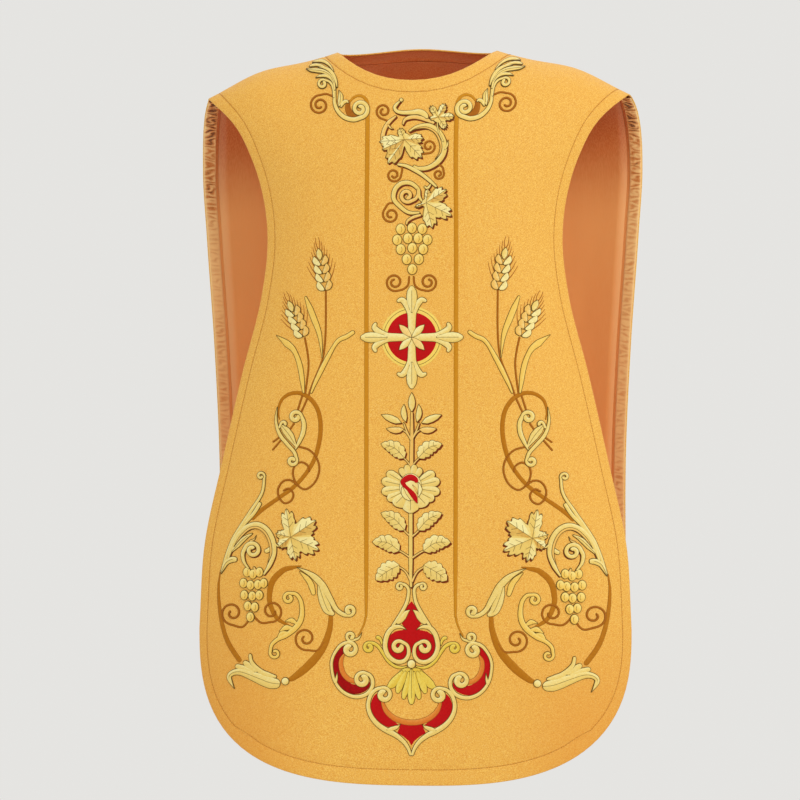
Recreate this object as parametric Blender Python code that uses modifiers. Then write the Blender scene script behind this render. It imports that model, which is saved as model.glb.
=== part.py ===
"""A Roman (fiddleback) chasuble in the shape it has when worn: front, back, the back's lining,
its puckered turned-in edges, and the raised embroidery of the front.

Metres, +Z up, and the front faces -Y. The origin lies midway between the shoulders, 5 mm above
the neck ends of the two shoulder seams, where the wearer's shoulders hold the garment."""

import math

import bmesh
import bpy
import numpy as np
from mathutils import Vector

# Sizes of the cut, in metres
NECK_HALF = 0.113  # half of the neck opening's width, at the shoulder seams
SHOULDER_HALF = 0.300  # from the middle to the tip of a shoulder
RIDGE_TOP = 0.0202  # height of the two seams' line, carried on to the middle
SHOULDER_SLOPE = 0.37  # fall of the seam for each metre outwards
RIDGE_ROUND = 0.060  # how gently the two seams would meet over the neck
SWELL = 0.012  # rise of the seam over the round of the shoulder
SWELL_AT = 0.225
SWELL_REACH = 0.055
ROUND_REACH = 0.200  # height over which the cloth rounds over the top, in the middle
ROUND_LOSS = 0.50  # share of that height lost at the shoulder's tip
WALL = 0.002  # face cloth with its interfacing
LINING_WALL = 0.001
SEAM_GAP = 0.0003
HALF_SEAM = 0.0009  # each panel stands that far off the shoulder seam's middle plane
EDGE_MARGIN = 0.023  # from the cut edge to its line of top stitching
NECK_MARGIN = 0.0205  # the same at the neck
STITCH_DENT = 0.0006
CORNER_POWER = 2.8  # how square the rounded foot of each panel is

# Each side edge as (height, half width), from the shoulder's tip to the widest place
FRONT_SIDE = (
    (-0.067, 0.300),
    (-0.111, 0.2545),
    (-0.161, 0.2275),
    (-0.211, 0.212),
    (-0.275, 0.205),
    (-0.350, 0.213),
    (-0.458, 0.240),
    (-0.581, 0.268),
    (-0.696, 0.2925),
    (-0.810, 0.2995),
)
BACK_SIDE = (
    (-0.067, 0.300),
    (-0.080, 0.3075),
    (-0.100, 0.3132),
    (-0.125, 0.3163),
    (-0.160, 0.3175),
    (-0.260, 0.312),
    (-0.420, 0.301),
    (-0.580, 0.294),
    (-0.720, 0.294),
    (-0.840, 0.296),
)
# Depth of a panel as (height, depth of its middle, how far its edges turn back, power of that turn)
FRONT_DEPTH = (
    (0.05, 0.124, 0.050, 3.0),
    (-0.25, 0.132, 0.058, 3.4),
    (-0.60, 0.137, 0.060, 4.2),
    (-1.02, 0.148, 0.062, 4.6),
)
BACK_DEPTH = (
    (0.05, 0.104, 0.045, 2.6),
    (-0.20, 0.122, 0.062, 2.8),
    (-0.60, 0.130, 0.066, 3.0),
    (-1.05, 0.148, 0.066, 3.2),
)

# Grid of a half panel, and the turned-in edge
NECK_STEPS = 60  # places from which each outline's even ones are taken
SIDE_STEPS = 160
FOOT_STEPS = 90
ACROSS_NECK = 5
ACROSS_SEAM = 6
DOWN = 31
MIRROR_MERGE = 0.00005
PUCKERS_A_ROW = 2  # puckers of the back's edge for each row of its grid
FIRST_PUCKER = 3  # the steps above it lie on the tight bend at the shoulder's tip and are left out
PUCKER_RISE = 0.0024
FACING_WALL = 0.0008
FACING_INSET = 0.0012  # kept free along both of the strip's long sides

# Embroidery, in metres on the front as it is seen from straight ahead
THREAD_RISE = 0.0008
CREST = 0.6  # how much higher a wide band stands along its middle, as a share of its rise
CREST_HALF = 0.005  # half width round which a band comes to have such a crest
PLATE_CROWN = 1.5  # height of a plate's middle, in rises
OVER = 2 * SEAM_GAP + THREAD_RISE  # height of a piece that lies over another
CROSS_AT = (0.0, -0.412)
RING_RADIUS = 0.0385
# Reach of the cross at an angle, in degrees, from its nearest arm
CROSS_REACH = (
    (0.0, 0.070),
    (7.5, 0.060),
    (15.0, 0.051),
    (22.5, 0.020),
    (30.0, 0.0135),
    (37.5, 0.016),
    (45.0, 0.023),
)
ROSE_AT = (-0.001, -0.617)
ROSE_HALF = (0.039, 0.034)
# Leaf pairs of the rose's stem: height of the leaves' tips, their reach, how far they droop, width
ROSE_LEAVES = (
    (-0.519, 0.041, 0.008, 0.012),
    (-0.556, 0.040, 0.016, 0.022),
    (-0.652, 0.040, 0.018, 0.022),
    (-0.687, 0.052, 0.018, 0.026),
    (-0.722, 0.050, 0.018, 0.027),
)


def place_in(rows, at, column=1):
    """The value of a table's column at a place in its first column, on a smooth curve."""
    places = np.array([row[0] for row in rows])
    values = np.array([row[column] for row in rows])
    if places[0] > places[-1]:
        places, values = places[::-1], values[::-1]
    at = min(max(at, places[0]), places[-1])
    slopes = np.gradient(values, places)
    k = min(int(np.searchsorted(places, at, side="right")) - 1, len(places) - 2)
    span = places[k + 1] - places[k]
    t = (at - places[k]) / span
    start = (1 + 2 * t) * (1 - t) ** 2 * values[k] + t * (1 - t) ** 2 * span * slopes[k]
    end = t * t * (3 - 2 * t) * values[k + 1] - t * t * (1 - t) * span * slopes[k + 1]
    return float(start + end)


def ridge_height(x):
    """Height of the shoulder seams' line, carried on smoothly over the neck."""
    fall = SHOULDER_SLOPE * (math.hypot(x, RIDGE_ROUND) - RIDGE_ROUND)
    return RIDGE_TOP - fall + SWELL * math.exp(-(((abs(x) - SWELL_AT) / SWELL_REACH) ** 2))


def round_reach(x):
    return ROUND_REACH * (1 - ROUND_LOSS * (x / SHOULDER_HALF) ** 2)


class Panel:
    """The front or the back as a surface over x and run, the way down the cloth from the seam."""

    def __init__(self, facing, side, depth, foot, neck_drop):
        self.facing = facing
        self.side = side
        self.depth_rows = depth
        self.foot = foot
        self.neck_drop = neck_drop

    def half_width(self, z):
        return place_in(self.side, z)

    def depth(self, x, z):
        middle = place_in(self.depth_rows, z, 1)
        turn_back = place_in(self.depth_rows, z, 2)
        power = place_in(self.depth_rows, z, 3)
        return middle - turn_back * abs(x / self.half_width(z)) ** power

    def run_at(self, x, z):
        """How far down the cloth the point is that lies at x and at that height."""
        reach = round_reach(x)
        drop = max(ridge_height(x) - z, 0.0)
        if drop < reach:
            return reach * math.acos(1 - drop / reach)
        return drop - reach + reach * math.pi / 2

    def bare_point(self, x, run):
        reach = round_reach(x)
        turn = min(max(run, 0.0) / reach, math.pi / 2)
        drop = reach * (1 - math.cos(turn)) + max(run - reach * math.pi / 2, 0.0)
        z = ridge_height(x) - drop
        return Vector((x, self.facing * (self.depth(x, z) * math.sin(turn) + HALF_SEAM), z))

    def slopes(self, x, run, step=1e-4):
        across = (self.bare_point(x + step, run) - self.bare_point(x - step, run)) / (2 * step)
        low = max(run - step, 0.0)
        down = (self.bare_point(x, run + step) - self.bare_point(x, low)) / (run + step - low)
        return across, down

    def point(self, x, run, out=0.0):
        """A point of the cloth's outer face, or one that far outside it."""
        across, down = self.slopes(x, run)
        normal = across.cross(down).normalized() * self.facing
        return self.bare_point(x, run) + normal * out

    def seen(self, x, z, out=0.0):
        """The point of the cloth that is seen at x and z from straight ahead."""
        return self.point(x, self.run_at(x, z), out)

    def inset(self, here, along, distance):
        """(x, run) that lies that far to the left of a way along the cloth, square to it."""
        across, down = self.slopes(*here)
        metric = np.array([[across.dot(across), across.dot(down)], [across.dot(down), down.dot(down)]])
        square = np.array([-along[1], along[0]])
        inward = np.linalg.solve(metric, square)
        inward *= distance / math.sqrt(float(inward @ square))
        return np.array(here) + inward

    def even(self, line, count):
        """count places (x, run) spaced evenly along a line of them, as measured on the cloth."""
        line = np.array(line)
        solid = np.array([self.bare_point(*p) for p in line])
        along = np.concatenate([[0], np.cumsum(np.linalg.norm(np.diff(solid, axis=0), axis=1))])
        at = np.linspace(0, along[-1], count)
        return np.stack([np.interp(at, along, line[:, k]) for k in range(2)], axis=1)

    def neck_line(self):
        line = []
        for angle in np.linspace(0, math.pi / 2, NECK_STEPS):
            x = NECK_HALF * math.sin(angle)
            drop = self.neck_drop * (1 - (x / NECK_HALF) ** 2)
            line.append((x, self.run_at(x, ridge_height(x) - drop)))
        return line

    def foot_line(self, first, last):
        """Part of the rounded foot, between two shares of the way from its side to its middle."""
        widest_z, widest = self.side[-1]
        line = []
        for share in np.linspace(first, last, FOOT_STEPS):
            angle = share * math.pi / 2
            x = widest * math.cos(angle) ** (2 / CORNER_POWER) if share < 1 else 0.0
            z = widest_z - (widest_z - self.foot) * math.sin(angle) ** (2 / CORNER_POWER)
            line.append((x, self.run_at(x, z)))
        return line

    def side_line(self):
        """The edge from the shoulder's tip down to the middle of the rounded corner."""
        heights = np.linspace(self.side[0][0], self.side[-1][0], SIDE_STEPS)
        line = [(self.half_width(z), self.run_at(self.half_width(z), z)) for z in heights[1:]]
        return [(SHOULDER_HALF, 0.0)] + line + self.foot_line(0, 0.5)[1:]


FRONT = Panel(-1, FRONT_SIDE, FRONT_DEPTH, foot=-1.018, neck_drop=0.0775)
BACK = Panel(1, BACK_SIDE, BACK_DEPTH, foot=-1.045, neck_drop=0.014)


def inset_line(panel, places, distance):
    """A line of places moved that far to its left."""
    ways = np.gradient(places, axis=0)
    return np.array([panel.inset(p, w, distance) for p, w in zip(places, ways)])


def filled(top, bottom, inner, outer):
    """A Coons patch: the grid that joins two rows of places and the two columns at their ends."""
    down, across = len(inner), len(top)
    u = np.linspace(0, 1, across)[None, :, None]
    v = np.linspace(0, 1, down)[:, None, None]
    rows = (1 - v) * top[None] + v * bottom[None]
    columns = (1 - u) * inner[:, None] + u * outer[:, None]
    ends = (1 - v) * ((1 - u) * top[0] + u * top[-1]) + v * ((1 - u) * bottom[0] + u * bottom[-1])
    return rows + columns - ends


def half_grid(panel):
    """Places (x, run) of a half panel. Row 0 is the neck's edge, row 1 its line of top stitching
    and then the shoulder seam, the last row the foot and the last column the side edge."""
    across = ACROSS_NECK + ACROSS_SEAM
    neck = panel.even(panel.neck_line(), ACROSS_NECK + 1)
    seam = np.linspace((NECK_HALF + NECK_MARGIN, 0.0), (SHOULDER_HALF - EDGE_MARGIN, 0.0), ACROSS_SEAM)
    side = panel.even(panel.side_line(), DOWN)
    foot = panel.even(panel.foot_line(1, 0.5), across + 1)

    below_neck = inset_line(panel, neck, NECK_MARGIN)
    below_neck[0, 0] = 0.0
    inside_side = inset_line(panel, side, EDGE_MARGIN)
    inside_side[0] = seam[-1]
    inside_foot = inset_line(panel, foot[::-1], EDGE_MARGIN)[::-1]
    inside_foot[0, 0] = 0.0
    corner = 0.5 * (inside_side[-1] + inside_foot[-1])

    grid = np.zeros((DOWN + 1, across + 1, 2))
    grid[0, : ACROSS_NECK + 1] = neck
    grid[1:, -1] = side
    grid[-1] = foot
    top = np.concatenate([below_neck[:-1], seam])
    bottom = np.concatenate([inside_foot[:-2], [corner]])
    middle = panel.even([top[0], bottom[0]], DOWN - 1)
    outer = np.concatenate([inside_side[:-2], [corner]])
    grid[1:-1, :-1] = filled(top, bottom, middle, outer)
    return grid


def panel_points(panel, out=0.0):
    """The panel's grid in space, that far outside its face, with the dent of its top stitching."""
    grid = half_grid(panel)
    rows = []
    for row in range(grid.shape[0]):
        points = []
        for column in range(grid.shape[1] if row else ACROSS_NECK + 1):
            dent = STITCH_DENT if stitched(row, column) else 0.0
            points.append(panel.point(*grid[row, column], out - dent))
        points[0].x = 0.0
        rows.append(points)
    return rows


def stitched(row, column):
    """Whether a place of the grid lies on the line of top stitching."""
    across = ACROSS_NECK + ACROSS_SEAM
    by_side = column == across - 1 and 0 < row < DOWN
    by_foot = row == DOWN - 1 and column < across
    by_neck = row == 1 and column <= ACROSS_NECK
    return by_side or by_foot or by_neck


def material(name, colour, roughness, metallic=0.0):
    made = bpy.data.materials.new(name)
    made.use_nodes = True
    shader = made.node_tree.nodes["Principled BSDF"]
    shader.inputs["Base Color"].default_value = (*colour, 1.0)
    shader.inputs["Roughness"].default_value = roughness
    shader.inputs["Metallic"].default_value = metallic
    return made


def mesh_object(name, points, faces, finish):
    mesh = bpy.data.meshes.new(name)
    mesh.from_pydata([tuple(p) for p in points], [], faces)
    mesh.materials.append(finish)
    mesh.shade_smooth()
    made = bpy.data.objects.new(name, mesh)
    PARTS.objects.link(made)
    return made


def cloth(name, panel, finish, wall, out=0.0, wanted=None):
    """A panel of cloth: its half grid, mirrored and given its thickness on the inner side."""
    rows = panel_points(panel, out)
    down, across = len(rows), len(rows[1])
    faces = []
    for row in range(down - 1):
        for column in range(across - 1 if row else ACROSS_NECK):
            if wanted and not wanted(row, column):
                continue
            a = row * across + column
            face = (a, a + across, a + across + 1, a + 1)
            faces.append(face if panel.facing < 0 else face[::-1])
    used = sorted({v for face in faces for v in face})
    places = {v: k for k, v in enumerate(used)}
    points = [rows[v // across][v % across] for v in used]
    made = mesh_object(name, points, [[places[v] for v in face] for face in faces], finish)
    mirror = made.modifiers.new("other_half", "MIRROR")
    mirror.merge_threshold = MIRROR_MERGE
    wall_maker = made.modifiers.new("wall", "SOLIDIFY")
    wall_maker.thickness = wall
    wall_maker.offset = -1
    return made


def loft(name, sections, finish, closed=False):
    """A closed solid through rings of points, all with the same count."""
    count = len(sections[0])
    points = [p for ring in sections for p in ring]
    faces = []
    rings = len(sections)
    for k in range(rings if closed else rings - 1):
        a, b = k * count, (k + 1) % rings * count
        for i in range(count):
            j = (i + 1) % count
            faces.append((a + i, a + j, b + j, b + i))
    if not closed:
        faces.append(tuple(reversed(range(count))))
        faces.append(tuple(range((rings - 1) * count, rings * count)))
    return mesh_object(name, points, faces, finish)


def lined_cell(row, column):
    """Whether the lining covers a cell: all but the turned-in edges and the neck's margin."""
    return column < ACROSS_NECK + ACROSS_SEAM - 1 and 0 < row < DOWN - 1


def on_grid(rows, row, column):
    """A point of a panel as it is meshed, between four points of its grid."""
    top, left = min(int(row), len(rows) - 2), min(int(column), len(rows[-1]) - 2)
    upper = rows[top][left].lerp(rows[top][left + 1], column - left)
    lower = rows[top + 1][left].lerp(rows[top + 1][left + 1], column - left)
    return upper.lerp(lower, row - top)


def puckered_edge(name, hand, finish):
    """The back's turned-in side edge: a strip that the stitching draws into small puckers."""
    base = -(WALL + 2 * SEAM_GAP)
    under = panel_points(BACK, base)
    flat = panel_points(BACK, base - FACING_WALL)
    drawn_in = panel_points(BACK, base - FACING_WALL - PUCKER_RISE)
    last = len(under[-1]) - 1
    side = FACING_INSET / EDGE_MARGIN
    steps = 2 * PUCKERS_A_ROW * (DOWN - 1)
    sections = []
    for k in range(FIRST_PUCKER, steps):
        row = 1 + k / (2 * PUCKERS_A_ROW)
        ring = [
            on_grid(under, row, last - side),
            on_grid(under, row, last - 1 + side),
            on_grid(flat, row, last - 1 + side),
            on_grid(drawn_in if k % 2 else flat, row, last - 0.5),
            on_grid(flat, row, last - side),
        ]
        sections.append([Vector((hand * p.x, p.y, p.z)) for p in ring])
    made = loft(name, sections, finish)
    make_outward(made.data)
    return made


def through(*stops, count=16):
    """Points of a smooth curve through a few stops."""
    stops = np.array(stops)
    along = np.concatenate([[0], np.cumsum(np.linalg.norm(np.diff(stops, axis=0), axis=1))])
    rows = [(a, *stop) for a, stop in zip(along, stops)]
    at = np.linspace(0, along[-1], count)
    return [(place_in(rows, a, 1), place_in(rows, a, 2)) for a in at]


def curl(x, z, start_radius, end_radius, start, end, count=16):
    """Points of an arc or a spiral, between two angles in degrees."""
    line = []
    for t in np.linspace(0, 1, count):
        radius = start_radius + (end_radius - start_radius) * t
        angle = math.radians(start + (end - start) * t)
        line.append((x + radius * math.cos(angle), z + radius * math.sin(angle)))
    return line


def even_width(width):
    return lambda t: width


def tapered(most, start=0.35, end=0.35):
    """A width along a band: a share of its most at the start, its most, a share at the end."""
    return lambda t: most * min(start + (1 - start) * t / 0.3, 1.0, end + (1 - end) * (1 - t) / 0.4)


def leaf_pair(most):
    """A width along two opposite leaves that meet at a stem."""
    return lambda t: most * (0.12 + 0.88 * abs(math.sin(2 * math.pi * t)) ** 0.8)


def eared(stem, ear, share):
    """A width along a stalk of wheat: its stem, then its ear with the steps of the grains."""

    def width(t):
        if t < share:
            return stem
        along = (t - share) / (1 - share)
        return stem + (ear - stem) * (math.sin(math.pi * (0.12 + 0.83 * along))) ** 0.7

    return width


def lobed(reach, lobes, depth, turn=0.0, tall=1.0):
    """The reach of a leaf, flower or bunch at an angle, with round lobes."""

    def radius(angle):
        swell = abs(math.cos(lobes / 2 * (angle - turn))) ** 0.8
        squash = 1 / math.hypot(math.cos(angle), math.sin(angle) / tall)
        return reach * (1 - depth + depth * swell) * squash

    return radius


def cross_reach(angle):
    off = abs((math.degrees(angle) + 45) % 90 - 45)
    return float(np.interp(off, [row[0] for row in CROSS_REACH], [row[1] for row in CROSS_REACH]))


def band(name, path, width, finish, lift=SEAM_GAP, rise=THREAD_RISE, closed=False, hand=1, wide=False):
    """A flat raised band of embroidery along a path on the front. A wide one has a low crest."""
    path = np.array(path)
    ways = np.gradient(path, axis=0)
    if closed:
        ways = (np.roll(path, -1, axis=0) - np.roll(path, 1, axis=0)) / 2
    sections = []
    for k, (here, way) in enumerate(zip(path, ways)):
        half = width(k / (len(path) - 1)) / 2
        crest = rise * (1 + CREST * min(max(half / CREST_HALF - 0.5, 0.0), 1.0))
        lower = [(1, 0.0), (0, 0.0), (-1, 0.0)] if wide else [(1, 0.0), (-1, 0.0)]
        upper = [(-1, rise), (0, crest), (1, rise)] if wide else [(-1, rise), (1, rise)]
        square = np.array([-way[1], way[0]]) / np.linalg.norm(way) * half
        ring = []
        for share, up in lower + upper:
            x, z = here + share * square
            ring.append(FRONT.seen(hand * x, z, lift + up))
        sections.append(ring)
    made = loft(name, sections, finish, closed)
    make_outward(made.data)
    return made


def plate(name, x, z, radius, count, finish, lift=SEAM_GAP, rise=THREAD_RISE, hand=1):
    """A raised plate round a centre. radius gives its reach at an angle in radians."""
    rings = []
    top = lift + PLATE_CROWN * rise
    for share, out in ((0.5, lift), (1.0, lift), (1.0, lift + rise), (0.5, top)):
        ring = []
        for k in range(count):
            angle = 2 * math.pi * k / count
            reach = share * radius(angle)
            ring.append(FRONT.seen(hand * (x + reach * math.cos(angle)), z + reach * math.sin(angle), out))
        rings.append(ring)
    points = [p for ring in rings for p in ring]
    points += [FRONT.seen(hand * x, z, lift), FRONT.seen(hand * x, z, top)]
    faces = []
    for k in range(count):
        j = (k + 1) % count
        for ring in range(3):
            a = ring * count
            faces.append((a + k, a + j, a + count + j, a + count + k))
        faces.append((j, k, 4 * count))
        faces.append((3 * count + k, 3 * count + j, 4 * count + 1))
    made = mesh_object(name, points, faces, finish)
    make_outward(made.data)
    return made


def make_outward(mesh):
    """Turns a closed mesh's faces outwards."""
    work = bmesh.new()
    work.from_mesh(mesh)
    bmesh.ops.recalc_face_normals(work, faces=work.faces)
    if work.calc_volume(signed=True) < 0:
        bmesh.ops.reverse_faces(work, faces=work.faces)
    work.to_mesh(mesh)
    work.free()


def clear_scene():
    for old in list(bpy.data.objects):
        bpy.data.objects.remove(old)


def new_collection(name):
    made = bpy.data.collections.new(name)
    bpy.context.scene.collection.children.link(made)
    return made


def make_cloth():
    gold = material("gold_cloth", (0.80, 0.45, 0.11), 0.55)
    edge = material("gold_turned_edge", (0.66, 0.36, 0.12), 0.5)
    rust = material("rust_satin", (0.42, 0.15, 0.04), 0.35)
    cloth("front_panel", FRONT, gold, WALL)
    cloth("back_panel", BACK, gold, WALL)
    cloth("back_lining", BACK, rust, LINING_WALL, out=-(WALL + SEAM_GAP), wanted=lined_cell)
    puckered_edge("back_edge_right", 1, edge)
    puckered_edge("back_edge_left", -1, edge)


def make_middle(cream, yellow):
    """The embroidery of the middle: vine and grapes, cross, rose, and the ornament at its foot."""
    loop = through(
        (-0.016, -0.096), (0.012, -0.100), (0.040, -0.122), (0.049, -0.152), (0.036, -0.177),
        (0.010, -0.186), (-0.018, -0.176), (-0.030, -0.160), count=22,
    )
    band("vine_stem", loop, tapered(0.007, 0.6, 0.6), cream)
    plate("vine_leaf_upper", -0.012, -0.145, lobed(0.029, 5, 0.42, math.radians(100)), 20, cream, OVER)
    lower = through((0.006, -0.197), (-0.016, -0.203), (-0.022, -0.220), (-0.006, -0.236), (0.012, -0.229),
                    (0.026, -0.234), count=14)
    band("vine_curl", lower, tapered(0.008), cream)
    plate("vine_leaf_lower", 0.030, -0.233, lobed(0.024, 5, 0.42, math.radians(-20)), 20, cream, OVER)
    plate("grapes_middle", 0.001, -0.289, lobed(0.023, 10, 0.14, 0.0, 1.45), 20, cream)

    ring = curl(*CROSS_AT, RING_RADIUS, RING_RADIUS, 0, 360 * 27 / 28, 28)
    band("cross_ring", ring, even_width(0.006), cream, closed=True)
    plate("cross", *CROSS_AT, cross_reach, 48, cream, OVER)

    stem = [(0.0, z) for z in np.linspace(-0.487, -0.742, 22)]
    band("rose_stem", stem, lambda t: 0.009 if 0.02 < t < 0.08 else 0.0045, cream)
    plate("rose", *ROSE_AT, lobed(ROSE_HALF[0], 12, 0.1, 0.0, ROSE_HALF[1] / ROSE_HALF[0]), 24, cream, OVER)
    for number, (z, reach, droop, width) in enumerate(ROSE_LEAVES, 1):
        pair = [(reach * t, z - droop * (1 - abs(t))) for t in np.linspace(-1, 1, 13)]
        band(f"rose_leaves_{number}", pair, leaf_pair(width), cream, OVER)
    plate("palmette", 0.0, -0.880, lobed(0.022, 7, 0.25, math.radians(-90)), 18, yellow)


def make_side(hand, word, tan, cream):
    """The embroidery of one half, with x measured outwards from the middle."""

    def line(name, stops, count, width, finish=cream, lift=SEAM_GAP, wide=False):
        path = through(*stops, count=count) if count else stops
        band(f"{name}_{word}", path, width, finish, lift, hand=hand, wide=wide)

    def shape(name, x, z, radius, count, lift=SEAM_GAP):
        plate(f"{name}_{word}", x, z, radius, count, cream, lift, hand=hand)

    scroll = ((0.139, -0.046), (0.122, -0.050), (0.108, -0.060), (0.101, -0.080), (0.095, -0.103),
              (0.080, -0.114), (0.066, -0.104), (0.068, -0.093), (0.077, -0.094))
    line("neck_scroll", scroll, 20, tapered(0.010, 0.3, 0.5))
    rounded = [(0.0605, z) for z in np.linspace(-0.124, -0.214, 8)]
    straight = [(0.0605, z) for z in np.linspace(-0.255, -0.745, 13)]
    orphrey = rounded + straight + through((0.061, -0.765), (0.067, -0.800), (0.078, -0.815), count=6)
    line("orphrey_line", orphrey, 0, even_width(0.006), tan)

    heart = ((0.005, -0.757), (0.010, -0.778), (0.024, -0.797), (0.035, -0.818), (0.034, -0.842),
             (0.020, -0.852), (0.009, -0.842), (0.014, -0.830))
    line("heart_scroll", heart, 15, tapered(0.009, 0.4, 0.5))
    side_c = ((0.080, -0.842), (0.090, -0.832), (0.105, -0.845), (0.110, -0.866), (0.099, -0.889),
              (0.081, -0.899), (0.066, -0.890), (0.063, -0.874), (0.073, -0.869))
    line("side_scroll", side_c, 15, tapered(0.010, 0.5, 0.5))
    foot = ((0.036, -0.905), (0.036, -0.893), (0.050, -0.891), (0.060, -0.910), (0.051, -0.938),
            (0.026, -0.959), (0.0045, -0.977))
    line("foot_scroll", foot, 15, tapered(0.010, 0.5, 0.4))

    tall = ((0.141, -0.483), (0.127, -0.450), (0.118, -0.415), (0.117, -0.350), (0.124, -0.312),
            (0.130, -0.276))
    line("wheat_tall", tall, 21, eared(0.0035, 0.025, 0.66), tan, wide=True)
    short = ((0.148, -0.484), (0.1445, -0.450), (0.148, -0.410), (0.157, -0.382), (0.171, -0.358))
    line("wheat_short", short, 15, eared(0.0035, 0.023, 0.60), tan, wide=True)
    line("blade_inner", ((0.136, -0.476), (0.122, -0.446), (0.105, -0.420), (0.077, -0.404)), 8,
         tapered(0.009, 0.4, 0.1), tan, OVER)
    line("blade_outer", ((0.147, -0.474), (0.153, -0.450), (0.163, -0.429), (0.183, -0.410)), 8,
         tapered(0.008, 0.4, 0.1), tan, OVER)

    ring = ((0.183, -0.505), (0.161, -0.490), (0.142, -0.4945), (0.126, -0.522), (0.128, -0.560),
            (0.145, -0.592), (0.172, -0.622), (0.198, -0.641))
    line("ring_stem", ring, 16, even_width(0.005), tan)
    knot = ((0.166, -0.512), (0.154, -0.514), (0.152, -0.526), (0.161, -0.540), (0.158, -0.560),
            (0.166, -0.577))
    line("knot", knot, 9, tapered(0.010, 0.4, 0.3))

    great = ((0.207, -0.603), (0.205, -0.622), (0.232, -0.668), (0.253, -0.722), (0.262, -0.765),
             (0.258, -0.808), (0.237, -0.850), (0.205, -0.874), (0.169, -0.876), (0.134, -0.850),
             (0.113, -0.820), (0.110, -0.803))
    line("great_scroll", great, 36, tapered(0.008, 0.5, 0.5))
    hook = ((0.231, -0.683), (0.213, -0.666), (0.193, -0.676), (0.185, -0.700), (0.194, -0.722))
    line("hook", hook, 11, tapered(0.006, 0.5, 0.5), tan)
    shape("vine_leaf", 0.160, -0.681, lobed(0.032, 5, 0.42, math.radians(80)), 20, OVER)
    shape("grapes", 0.217, -0.763, lobed(0.0155, 8, 0.16, 0.0, 1.9), 16)
    inner = ((0.160, -0.733), (0.181, -0.740), (0.192, -0.762), (0.186, -0.790), (0.171, -0.801))
    line("inner_scroll", inner, 11, tapered(0.006, 0.5, 0.5), tan)
    acanthus = ((0.150, -0.722), (0.130, -0.738), (0.114, -0.762), (0.100, -0.783), (0.086, -0.788),
                (0.081, -0.778))
    line("acanthus", acanthus, 11, tapered(0.013, 0.4, 0.4))
    s_leaf = ((0.168, -0.766), (0.156, -0.771), (0.152, -0.788), (0.158, -0.808), (0.174, -0.821),
              (0.188, -0.840))
    line("s_leaf", s_leaf, 10, tapered(0.011, 0.4, 0.3))
    fan = ((0.251, -0.874), (0.233, -0.883), (0.210, -0.887), (0.190, -0.884), (0.176, -0.878))
    line("foot_leaf", fan, 8, tapered(0.016, 0.2, 0.3), lift=OVER)


def make_embroidery():
    tan = material("tan_thread", (0.60, 0.27, 0.05), 0.45)
    cream = material("cream_gold_thread", (0.78, 0.52, 0.20), 0.4)
    yellow = material("yellow_thread", (0.72, 0.50, 0.10), 0.4)
    make_middle(cream, yellow)
    make_side(-1, "left", tan, cream)
    make_side(1, "right", tan, cream)


clear_scene()
PARTS = new_collection("roman_chasuble")
make_cloth()
make_embroidery()
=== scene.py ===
"""The looks of the Roman chasuble: gold cloth, rust satin lining, puckered edges, top stitching
and the embroidery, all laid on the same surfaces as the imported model. Metres unless a name ends
in _mm, +Z up, and the front faces -Y."""

import math

import bpy
import numpy as np
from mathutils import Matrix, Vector


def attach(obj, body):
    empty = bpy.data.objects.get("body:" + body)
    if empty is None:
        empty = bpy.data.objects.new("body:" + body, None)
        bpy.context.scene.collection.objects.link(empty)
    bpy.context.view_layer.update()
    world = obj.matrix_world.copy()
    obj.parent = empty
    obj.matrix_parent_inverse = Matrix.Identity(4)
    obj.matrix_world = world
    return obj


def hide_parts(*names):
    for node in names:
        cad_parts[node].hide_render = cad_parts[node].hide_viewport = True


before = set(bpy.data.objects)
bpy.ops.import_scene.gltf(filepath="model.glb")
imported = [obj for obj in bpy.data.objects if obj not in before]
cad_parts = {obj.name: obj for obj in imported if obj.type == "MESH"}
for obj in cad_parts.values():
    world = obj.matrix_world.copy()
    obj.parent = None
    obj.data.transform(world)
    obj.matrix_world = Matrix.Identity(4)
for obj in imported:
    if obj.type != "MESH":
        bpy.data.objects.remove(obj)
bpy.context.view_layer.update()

# The cut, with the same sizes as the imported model
NECK_HALF = 0.113
SHOULDER_HALF = 0.300
RIDGE_TOP = 0.0202
SHOULDER_SLOPE = 0.37
RIDGE_ROUND = 0.060
SWELL = 0.012
SWELL_AT = 0.225
SWELL_REACH = 0.055
ROUND_REACH = 0.200
ROUND_LOSS = 0.50
WALL = 0.002
LINING_WALL = 0.001
SEAM_GAP = 0.0003
HALF_SEAM = 0.0009
SEAM_DRAWN = 0.0008  # how far each panel's edge is drawn up to the shoulder seam
SEAM_FADE = 0.006  # and the length of cloth over which that fades
EDGE_MARGIN = 0.023
NECK_MARGIN = 0.0205
CORNER_POWER = 2.8
FRONT_SIDE = (
    (-0.067, 0.300),
    (-0.111, 0.2545),
    (-0.161, 0.2275),
    (-0.211, 0.212),
    (-0.275, 0.205),
    (-0.350, 0.213),
    (-0.458, 0.240),
    (-0.581, 0.268),
    (-0.696, 0.2925),
    (-0.810, 0.2995),
)
BACK_SIDE = (
    (-0.067, 0.300),
    (-0.080, 0.3075),
    (-0.100, 0.3132),
    (-0.125, 0.3163),
    (-0.160, 0.3175),
    (-0.260, 0.312),
    (-0.420, 0.301),
    (-0.580, 0.294),
    (-0.720, 0.294),
    (-0.840, 0.296),
)
# Depth of a panel as (height, depth of its middle, how far its edges turn back, power of that turn)
FRONT_DEPTH = (
    (0.05, 0.124, 0.050, 3.0),
    (-0.25, 0.132, 0.058, 3.4),
    (-0.60, 0.137, 0.060, 4.2),
    (-1.02, 0.148, 0.062, 4.6),
)
BACK_DEPTH = (
    (0.05, 0.104, 0.045, 2.6),
    (-0.20, 0.122, 0.062, 2.8),
    (-0.60, 0.130, 0.066, 3.0),
    (-1.05, 0.148, 0.066, 3.2),
)

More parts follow.
